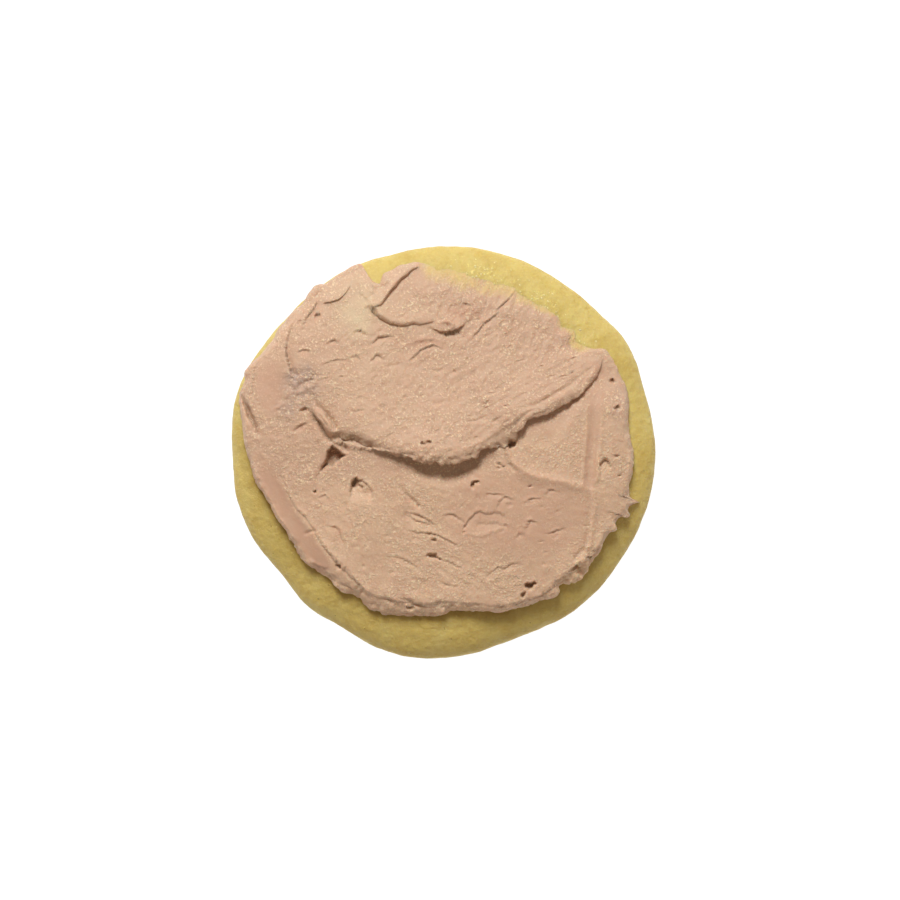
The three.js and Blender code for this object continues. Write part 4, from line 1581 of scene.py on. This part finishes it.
    def thinned(self, plan: Array) -> Array:
        """Where the feathered edge is dragged out to a film, from 0 to 1.

        Args:
            plan: x and y in mm.

        Returns:
            One share for each point.
        """
        by_lip = smoothstep(np.hypot(*(plan - self.lip_tip).T), 1.5, 4.0)
        on_right = smoothstep(plan[:, 0], -6.0, -2.0)
        return smoothstep(self.feather(plan), 0.55, 0.95) * on_right * by_lip

    def small_bubbles(self) -> list[Pit]:
        """Tiny burst bubbles, and short nicks that the blade dragged open, from a fixed seed.

        Returns:
            The bubbles, then the nicks.
        """
        rng = np.random.default_rng(self.seed)
        spots = rng.uniform(-36.0, 36.0, (self.bubbles * 2, 2))
        sizes = rng.uniform(*self.bubble_sizes, len(spots))
        turns = rng.normal(*self.bubble_turns, len(spots))
        depths = rng.uniform(*self.bubble_depths, len(spots))
        keep = np.hypot(*spots.T) < self.bubble_area
        rows = list(zip(spots[keep], sizes[keep], turns[keep], depths[keep]))[: self.bubbles]
        small = [Pit(*spot, size, size * 0.5, turn, depth) for spot, size, turn, depth in rows]
        spots = rng.uniform(*self.nick_area, (self.nicks, 2))
        shapes = rng.uniform(*self.nick_shapes, (self.nicks, 3))
        turns = rng.normal(*self.nick_turns, self.nicks)
        for (x, y), (length, width, depth), turn in zip(spots, shapes, turns):
            # Nicks lie only in the second pass, beyond the main lip.
            if y > 1.5 + max(0.0, 0.5 * x - 2.0):
                small.append(Pit(x, y, length, width, turn, depth))
        return small

    def pressed(self, plan: Array) -> Array:
        """Where the blade pressed the icing smooth, from 0 to 1.

        Args:
            plan: x and y in mm.

        Returns:
            One share for each point.
        """
        band = beside(np.array(self.pressed_band), plan).distance
        mark = beside(np.array(self.pressed_mark), plan).distance
        cheek, lower = self.pressed_cheek, self.pressed_lower
        shares = (
            (1 - smoothstep(band, 1.2, 2.2)) * (1 - smoothstep(plan[:, 1], -6.0, 1.0)),
            0.7 * (1 - smoothstep(mark, 1.0, 1.5)),
            cheek.share * (1 - smoothstep(cheek.reach(plan), 0.6, 1.1)),
            lower.share * (1 - smoothstep(lower.reach(plan), 0.5, 1.1)),
        )
        return np.maximum.reduce(shares)

    def relief(self, plan: Array, crumbs: Array) -> Array:
        """The surface's own relief, over the plan: drag marks of the blade, and grain.

        Args:
            plan: x and y in mm.
            crumbs: where it is torn and rough, from 0 to 1.

        Returns:
            Heights in mm.
        """
        x, y = plan.T
        upper = smoothstep(y - 0.25 * x, -3.0, 3.0)
        total = np.zeros(len(plan))
        for degrees, share in zip(self.drag_turns, (upper, 1 - upper)):
            c, s = math.cos(math.radians(degrees)), math.sin(math.radians(degrees))
            turned = np.column_stack([(x * c + y * s) / self.drag_length, y * c - x * s])
            total += share * sum(marks.at(turned) for marks in self.drag_marks)
        # The marks are faint on the left and on the far right.
        total *= mix(0.45, 1.0, smoothstep(x, -22.0, 6.0))
        total *= mix(1.0, 0.5, smoothstep(x, 10.0, 20.0))
        total += mix(0.7, 1.0, upper) * self.fine_grain.at(plan) + self.coarse_grain.at(plan)
        total *= 1 - 0.8 * self.pressed(plan)
        slanted = np.column_stack([0.8 * x - 0.6 * y, 0.6 * x + 0.8 * y])
        creases = -self.crease_depth * fall(noise(slanted, 1.4, 49, 2), self.crease_width)
        crust = creases + self.crust_lumps.at(slanted)
        crust *= sum(spot.over(plan) for spot in self.crusted)
        return total + self.swell.at(plan) + crust + crumbs * self.torn_lumps.at(plan)

    def grid(self) -> tuple[Array, Array, Array, Array]:
        """Points of a disc, from a square of cells.

        Returns:
            Share of the radius and direction of each point, faces, and the rim's points in order.
        """
        side = np.linspace(-1.0, 1.0, self.cells + 1)
        a, b = (values.ravel() for values in np.meshgrid(side, side, indexing="ij"))
        wide = np.abs(a) > np.abs(b)
        share = np.where(wide, a, b)
        other = np.where(wide, b, a)
        slant = (math.pi / 4) * np.divide(other, share, out=np.zeros_like(share), where=share != 0)
        angle = np.where(wide, slant, math.pi / 2 - slant) + np.where(share < 0, math.pi, 0.0)
        index = np.arange((self.cells + 1) ** 2).reshape(self.cells + 1, -1)
        corners = (index[:-1, :-1], index[1:, :-1], index[1:, 1:], index[:-1, 1:])
        faces = np.column_stack([corner.ravel() for corner in corners])
        rim = np.concatenate([index[:-1, 0], index[-1, :-1], index[:0:-1, -1], index[0, :0:-1]])
        return np.abs(share), angle, faces, rim

    def wall_width(self, angle: Array) -> Array:
        """Measures the wall, which is widest under the feathered edge.

        Args:
            angle: directions in radians.

        Returns:
            Widths in mm.
        """
        degrees, widths = np.array(self.walls).T
        width = np.interp(np.degrees(angle) % 360.0, degrees, widths)
        direction = np.column_stack([np.cos(angle), np.sin(angle)])
        edge = np.array(self.centre) + self.radius(angle)[:, None] * direction
        return mix(width, self.feather_width, self.thinned(edge))

    def even_reach(self, angle: Array) -> Array:
        """Measures from the centre to the wall, smoothed round the outline.

        Args:
            angle: directions in radians.

        Returns:
            Distances in mm.
        """
        fine = np.linspace(-math.pi, math.pi, 720, endpoint=False)
        window = np.hanning(49)
        inner = self.radius(fine) - self.wall_width(fine)
        ring = np.concatenate([inner[-24:], inner, inner[:24]])
        even = np.convolve(ring, window / window.sum(), "valid")
        return np.interp(angle, fine, even, period=2 * math.pi)

    def surface(self, plan: Array) -> tuple[Array, Array, Array, Array]:
        """Shapes the icing's top.

        Args:
            plan: where its points start.

        Returns:
            Where they end on the plan, the icing's thickness, how torn it is, and its painted
            shade.
        """
        lift = np.zeros(len(plan))
        crumbs = np.zeros(len(plan))
        for fold in self.folds:
            plan, height, face = fold.roll(plan)
            lift += height
            crumbs = np.maximum(crumbs, face)
        x, y = plan.T
        by_tip = smoothstep(y, 8.0, 17.0) * smoothstep(x, 22.0, 30.0)
        spread = mix(self.thick, self.thin, np.maximum(self.feather(plan), by_tip))
        torn = plan + np.column_stack([rag.at(plan) for rag in self.stroke_rag])
        cut = np.zeros(len(plan))
        for stroke in self.strokes:
            added = stroke.height(torn)
            lift += added
            if stroke.left < self.narrow:
                cut = np.maximum(cut, -added)
        for depth, *knots in self.tears:
            ends = (0, len(knots) - 1)
            shares = (self.tear_ends if i in ends else self.tear_middle for i in range(len(knots)))
            path = tuple((*knot, depth * share) for knot, share in zip(knots, shares))
            lift += Stroke(path, *self.tear_widths, self.tear_step).height(torn)
        torn += np.column_stack([rag.at(plan) for rag in self.pit_rag])
        hollow = np.zeros(len(plan))
        for pit in (*self.pits, *self.small_bubbles()):
            near = np.abs(plan - (pit.x, pit.y)).max(axis=1) < pit.length + pit.width
            hollow[near] += pit.sink(torn[near])
        for hole in self.holes:
            hollow += hole.sink(torn)
        thickness = spread + lift + self.relief(plan, crumbs) - hollow
        # Painted shade in deep pits and holes, and in narrow grooves.
        dark = np.maximum(smoothstep(hollow, 0.5, 1.4), 0.8 * smoothstep(cut, 0.3, 1.0))
        return plan, np.maximum(thickness, self.thinnest), crumbs, dark

    def build(self, finish: Buttercream) -> bpy.types.Object:
        """Makes the icing as one closed mass.

        Args:
            finish: the buttercream's finish.

        Returns:
            The finished piece.
        """
        share, angle, faces, rim = self.grid()
        direction = np.column_stack([np.cos(angle), np.sin(angle)])
        centre = np.array(self.centre)
        inner = self.radius(angle) - self.wall_width(angle)
        even = self.even_reach(angle)
        reach = share * even + (inner - even) * smoothstep(share, 0.78, 1.0)
        plans, lifts = [centre + reach[:, None] * direction], [np.ones(len(share))]
        radius, wall = self.radius(angle[rim]), self.wall_width(angle[rim])
        roundness = self.wall_roundness
        for i in range(1, self.wall_rings + 1):
            roll = math.sin(i / self.wall_rings * math.pi / 2)
            plans.append(centre + (radius - wall * (1 - roll))[:, None] * direction[rim])
            lifts.append(np.full(len(rim), (1 - roll**roundness) ** (1 / roundness)))
        before, lift = np.vstack(plans), np.concatenate(lifts)
        plan, thickness, crumbs, hollow = self.surface(before)
        from_centre = before - centre
        turn = np.arctan2(from_centre[:, 1], from_centre[:, 0])
        inside = self.radius(turn) - np.hypot(*from_centre.T)
        height = (thickness * self.film_ragged(plan, inside) + self.sink) * lift - self.sink
        points = np.column_stack([plan, self.cookie.top(plan, self.overhangs_from) + height])
        wall_loops = len(share) + np.arange(self.wall_rings * len(rim)).reshape(self.wall_rings, -1)
        loops = [rim, *wall_loops]
        tables = [faces, *(bridge(upper, lower) for upper, lower in zip(loops, loops[1:]))]
        rough = smoothstep(1 - inside / (self.wall_width(turn) + 0.6), 0.05, 0.5)
        rough *= (1 - self.feather(plan)) * mix(0.5, 1.0, smoothstep(-plan[:, 1], 14.0, 22.0))
        points = self.roughen(points, np.vstack(tables), rough, crumbs)
        points, base = self.close(points, loops[-1])
        # Painted shade in the hollow under the main lip and on the lip's face.
        under_lip = beside(np.array(self.under_lip), plan).distance
        shaded = self.under_lip_painted_shade * fall(under_lip, self.under_lip_width)
        undercut = 0.3 * smoothstep(crumbs, 0.6, 0.9)
        masks = self.masks(points[: len(plan), :2], inside, rough)
        masks[Mask.PAINTED_SHADE] = np.maximum.reduce((hollow, shaded, undercut))
        spare = (0, len(points) - len(plan))
        masks = {mask: np.pad(values, spare) for mask, values in masks.items()}
        return make_object("icing_buttercream", points, [*tables, *base], finish.build(), masks)

    def film_ragged(self, plan: Array, inside: Array) -> Array:
        """How much of its thickness the feathered edge keeps where it is dragged out to a film.

        Args:
            plan: x and y in mm.
            inside: distance in from the outline.

        Returns:
            Shares from about 0.3 to 1.
        """
        ragged = self.dragged(plan, Lumps(1.0, 1.1, 61)) + 0.5 * noise(plan, 3.0, 63, 2)
        width = mix(6.0, 3.0, smoothstep(plan[:, 0], 12.0, 17.0))
        film = mix(self.film_left, 1.0, smoothstep((inside + ragged) / width, 0.1, 1.0))
        return mix(1.0, film + self.dragged(plan, self.film_streaks), self.thinned(plan))

    def dragged(self, plan: Array, streaks: Lumps) -> Array:
        """Relief drawn out along the way that the blade left the feathered edge.

        Args:
            plan: x and y in mm.
            streaks: the relief across the streaks.

        Returns:
            One value for each point.
        """
        along_x, along_y = self.feather_direction
        along = plan @ np.array((along_x, along_y))
        across = plan @ np.array((along_y, -along_x))
        return streaks.at(np.column_stack([across, along / self.streak_length]))

    def roughen(self, points: Array, quads: Array, rough: Array, crumbs: Array) -> Array:
        """Tears the wall and the lips, along the surface's own normal.

        Args:
            points: the icing's points.
            quads: its faces.
            rough: where the wall is, from 0 to 1.
            crumbs: where the lips are torn, from 0 to 1.

        Returns:
            The moved points.
        """
        normals = vertex_normals(points, quads)
        layered = points * (1.0, 1.0, 1.6)
        crumbled = 1.0 + 1.5 * self.crumbled.over(points)
        push = rough * crumbled * sum(lumps.at(layered) for lumps in self.wall_lumps)
        # The main lip is torn most in its middle.
        middle = smoothstep(points[:, 0], -12.0, -6.0) * (1 - smoothstep(points[:, 0], 8.0, 12.0))
        push += crumbs * mix(0.3, 1.0, middle) * sum(lumps.at(points) for lumps in self.lip_lumps)
        return points + normals * push[:, None]

    def close(self, points: Array, edge: Array) -> tuple[Array, list[Array]]:
        """Closes the underside, just inside the dough.

        Args:
            points: the icing's points.
            edge: the outermost ring.

        Returns:
            All the points, and the underside's faces.
        """
        centre, depth = np.array(self.centre), 2.0 * self.sink
        tables, last = [], edge
        for share in self.base_shares:
            plan = centre + (points[edge, :2] - centre) * share
            fresh = len(points) + np.arange(len(edge))
            points = np.vstack([points, np.column_stack([plan, self.cookie.top(plan) - depth])])
            tables.append(bridge(last, fresh))
            last = fresh
        tables.append(fan(last, len(points)))
        middle = np.array([[*self.centre, self.cookie.top(centre[None])[0] - depth]])
        return np.vstack([points, middle]), tables

    def masks(self, plan: Array, inside: Array, rough: Array) -> dict[Mask, Array]:
        """What the finish reads from the icing's shape.

        Args:
            plan: x and y in mm.
            inside: distance in from the outline.
            rough: where the wall is.

        Returns:
            The masks, one value for each point.
        """
        x, y = plan.T
        pressed = self.pressed(plan)
        patchy = 0.7 + 0.5 * noise(plan, 2.2, 81, 3)
        mauve = sum(spot.over(plan) for spot in self.mauve_spots) * patchy
        paler = sum(spot.over(plan) for spot in self.paler_spots)
        rose = sum(spot.over(plan) for spot in self.rose_spots)
        streaky = smoothstep(self.dragged(plan, Lumps(1.0, 0.8, 83)), -0.4, 0.6)
        film_width = mix(5.4, 2.6, smoothstep(x, 12.0, 18.0))
        film = 1 - smoothstep((inside + noise(plan, 3.0, 63, 2)) / film_width, 0.05, 1.0)
        return {
            Mask.PRESSED: pressed,
            Mask.FILM: np.clip(film - self.smear.over(plan), 0.0, 1.0) * self.thinned(plan),
            # Paler below the main lip, as painted light against the light's fall towards -Y; the
            # spots are tone.
            Mask.PALER_AND_PAINTED_LIGHT: np.maximum(1 - smoothstep(y - 0.25 * x, -3.0, 2.0), paler),
            Mask.ROSE: np.clip(rose, 0.0, 1.0) * mix(0.35, 0.9, streaky),
            # Painted light on the shaded outer wall, strongest at the crumbled corner.
            Mask.PAINTED_WALL_LIGHT: rough * (1 - pressed) * mix(0.3, 2.0, self.crumbled.over(plan)),
            Mask.STRAW: np.clip(self.straw_spot.over(plan) * patchy, 0.0, 1.0),
            Mask.MAUVE: np.clip(mauve * (1 + 0.9 * noise(plan, 0.8, 85, 2)), 0.0, 1.0),
        }


# ---- the studio -----------------------------------------------------------------------------


@dataclass
class Studio:
    """Plain soft light from the far side, a pale floor, and a long lens straight above."""

    view_width: float = 182.5
    picture_centre: tuple[float, float] = (1.52, 0.41)
    camera_height: float = 1000.0
    focus_height: float = 8.0
    key_elevation: float = 48.0
    key_azimuth: float = 101.0
    key_distance: float = 3000.0
    key_size: float = 1000.0
    key_power: float = 83.0
    key_colour: str = "#f9fcfb"
    sky_colour: str = "#fff1e0"
    sky: float = 0.30
    floor_half: float = 4000.0
    floor_glow: float = 1.0
    floor_grey: float = 0.14

    def build(self) -> None:
        """Sets up the floor, the light and the camera."""
        self.lay_floor()
        self.hang_lights()
        self.place_camera()
        bpy.context.scene.view_settings.view_transform = "Standard"

    def lay_floor(self) -> None:
        """A wide pale floor that the base rests on."""
        half = self.floor_half
        ways = ((-1.0, -1.0), (1.0, -1.0), (1.0, 1.0), (-1.0, 1.0))
        corners = np.array([(half * x, half * y, 0.0) for x, y in ways])
        material = new_material("pale_floor")
        tree = material.node_tree
        grey = (self.floor_grey, self.floor_grey, self.floor_grey, 1.0)
        matt = add_node(tree, "ShaderNodeBsdfDiffuse", {"Color": grey})
        white = (1.0, 1.0, 1.0, 1.0)
        glow = add_node(tree, "ShaderNodeEmission", {"Color": white, "Strength": self.floor_glow})
        both = add_node(tree, "ShaderNodeAddShader", {0: matt.outputs[0], 1: glow.outputs[0]})
        add_node(tree, "ShaderNodeOutputMaterial", {"Surface": both.outputs[0]})
        floor = make_object("floor", corners, [np.array([[0, 1, 2, 3]])], material, {})

    def hang_lights(self) -> None:
        """A soft window beyond +Y, and even light from all round."""
        turn, lift = math.radians(self.key_azimuth), math.radians(self.key_elevation)
        light = bpy.data.lights.new("window", "AREA")
        light.shape = "DISK"
        light.size = self.key_size * MM
        light.energy = self.key_power
        light.color = linear(self.key_colour)[:3]
        lamp = bpy.data.objects.new("window", light)
        flat = math.cos(lift)
        away = np.array([math.cos(turn) * flat, math.sin(turn) * flat, math.sin(lift)])
        lamp.location = away * self.key_distance * MM
        lamp.rotation_euler = (math.pi / 2 - lift, 0.0, turn + math.pi / 2)
        bpy.context.scene.collection.objects.link(lamp)
        world = bpy.data.worlds.new("soft_room")
        world.use_nodes = True
        world.node_tree.nodes.clear()
        inputs = {"Color": linear(self.sky_colour), "Strength": self.sky}
        sky = add_node(world.node_tree, "ShaderNodeBackground", inputs)
        add_node(world.node_tree, "ShaderNodeOutputWorld", {"Surface": sky.outputs[0]})
        bpy.context.scene.world = world

    def place_camera(self) -> None:
        """Looks straight down with a long lens."""
        lens = bpy.data.cameras.new("camera")
        lens.sensor_width = 36.0
        lens.lens = 36.0 * self.camera_height / self.view_width
        lens.clip_start, lens.clip_end = 0.05, 20.0
        camera = bpy.data.objects.new("camera", lens)
        height = self.camera_height + self.focus_height
        camera.location = tuple(v * MM for v in (*self.picture_centre, height))
        bpy.context.scene.collection.objects.link(camera)
        bpy.context.scene.camera = camera


# ---- putting it together --------------------------------------------------------------------


def settle(piece: bpy.types.Object, node: str | None = None) -> None:
    """Puts a piece on the cookie's body, under its slot, in place of its solid.

    Args:
        piece: the finished piece.
        node: the solid that it stands for, if any.
    """
    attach(piece, "root")
    if node:
        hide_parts(node)
    LOG.info("%s: %d faces", piece.name, len(piece.data.polygons))


def main() -> None:
    """Builds the cookie, its icing and the studio."""
    logging.basicConfig(level=logging.INFO, format="%(name)s: %(message)s")
    Studio().build()
    cookie = Cookie()
    spread = Icing(cookie)
    dough = cookie.build(SugarCookieDough(), spread.outside)
    icing = spread.build(Buttercream())
    grains = SugarScatter(SugarGrains().build()).scatter(dough)
    settle(dough, "cookie")
    settle(icing, "icing")
    settle(grains)


if __name__ == "__main__":
    main()
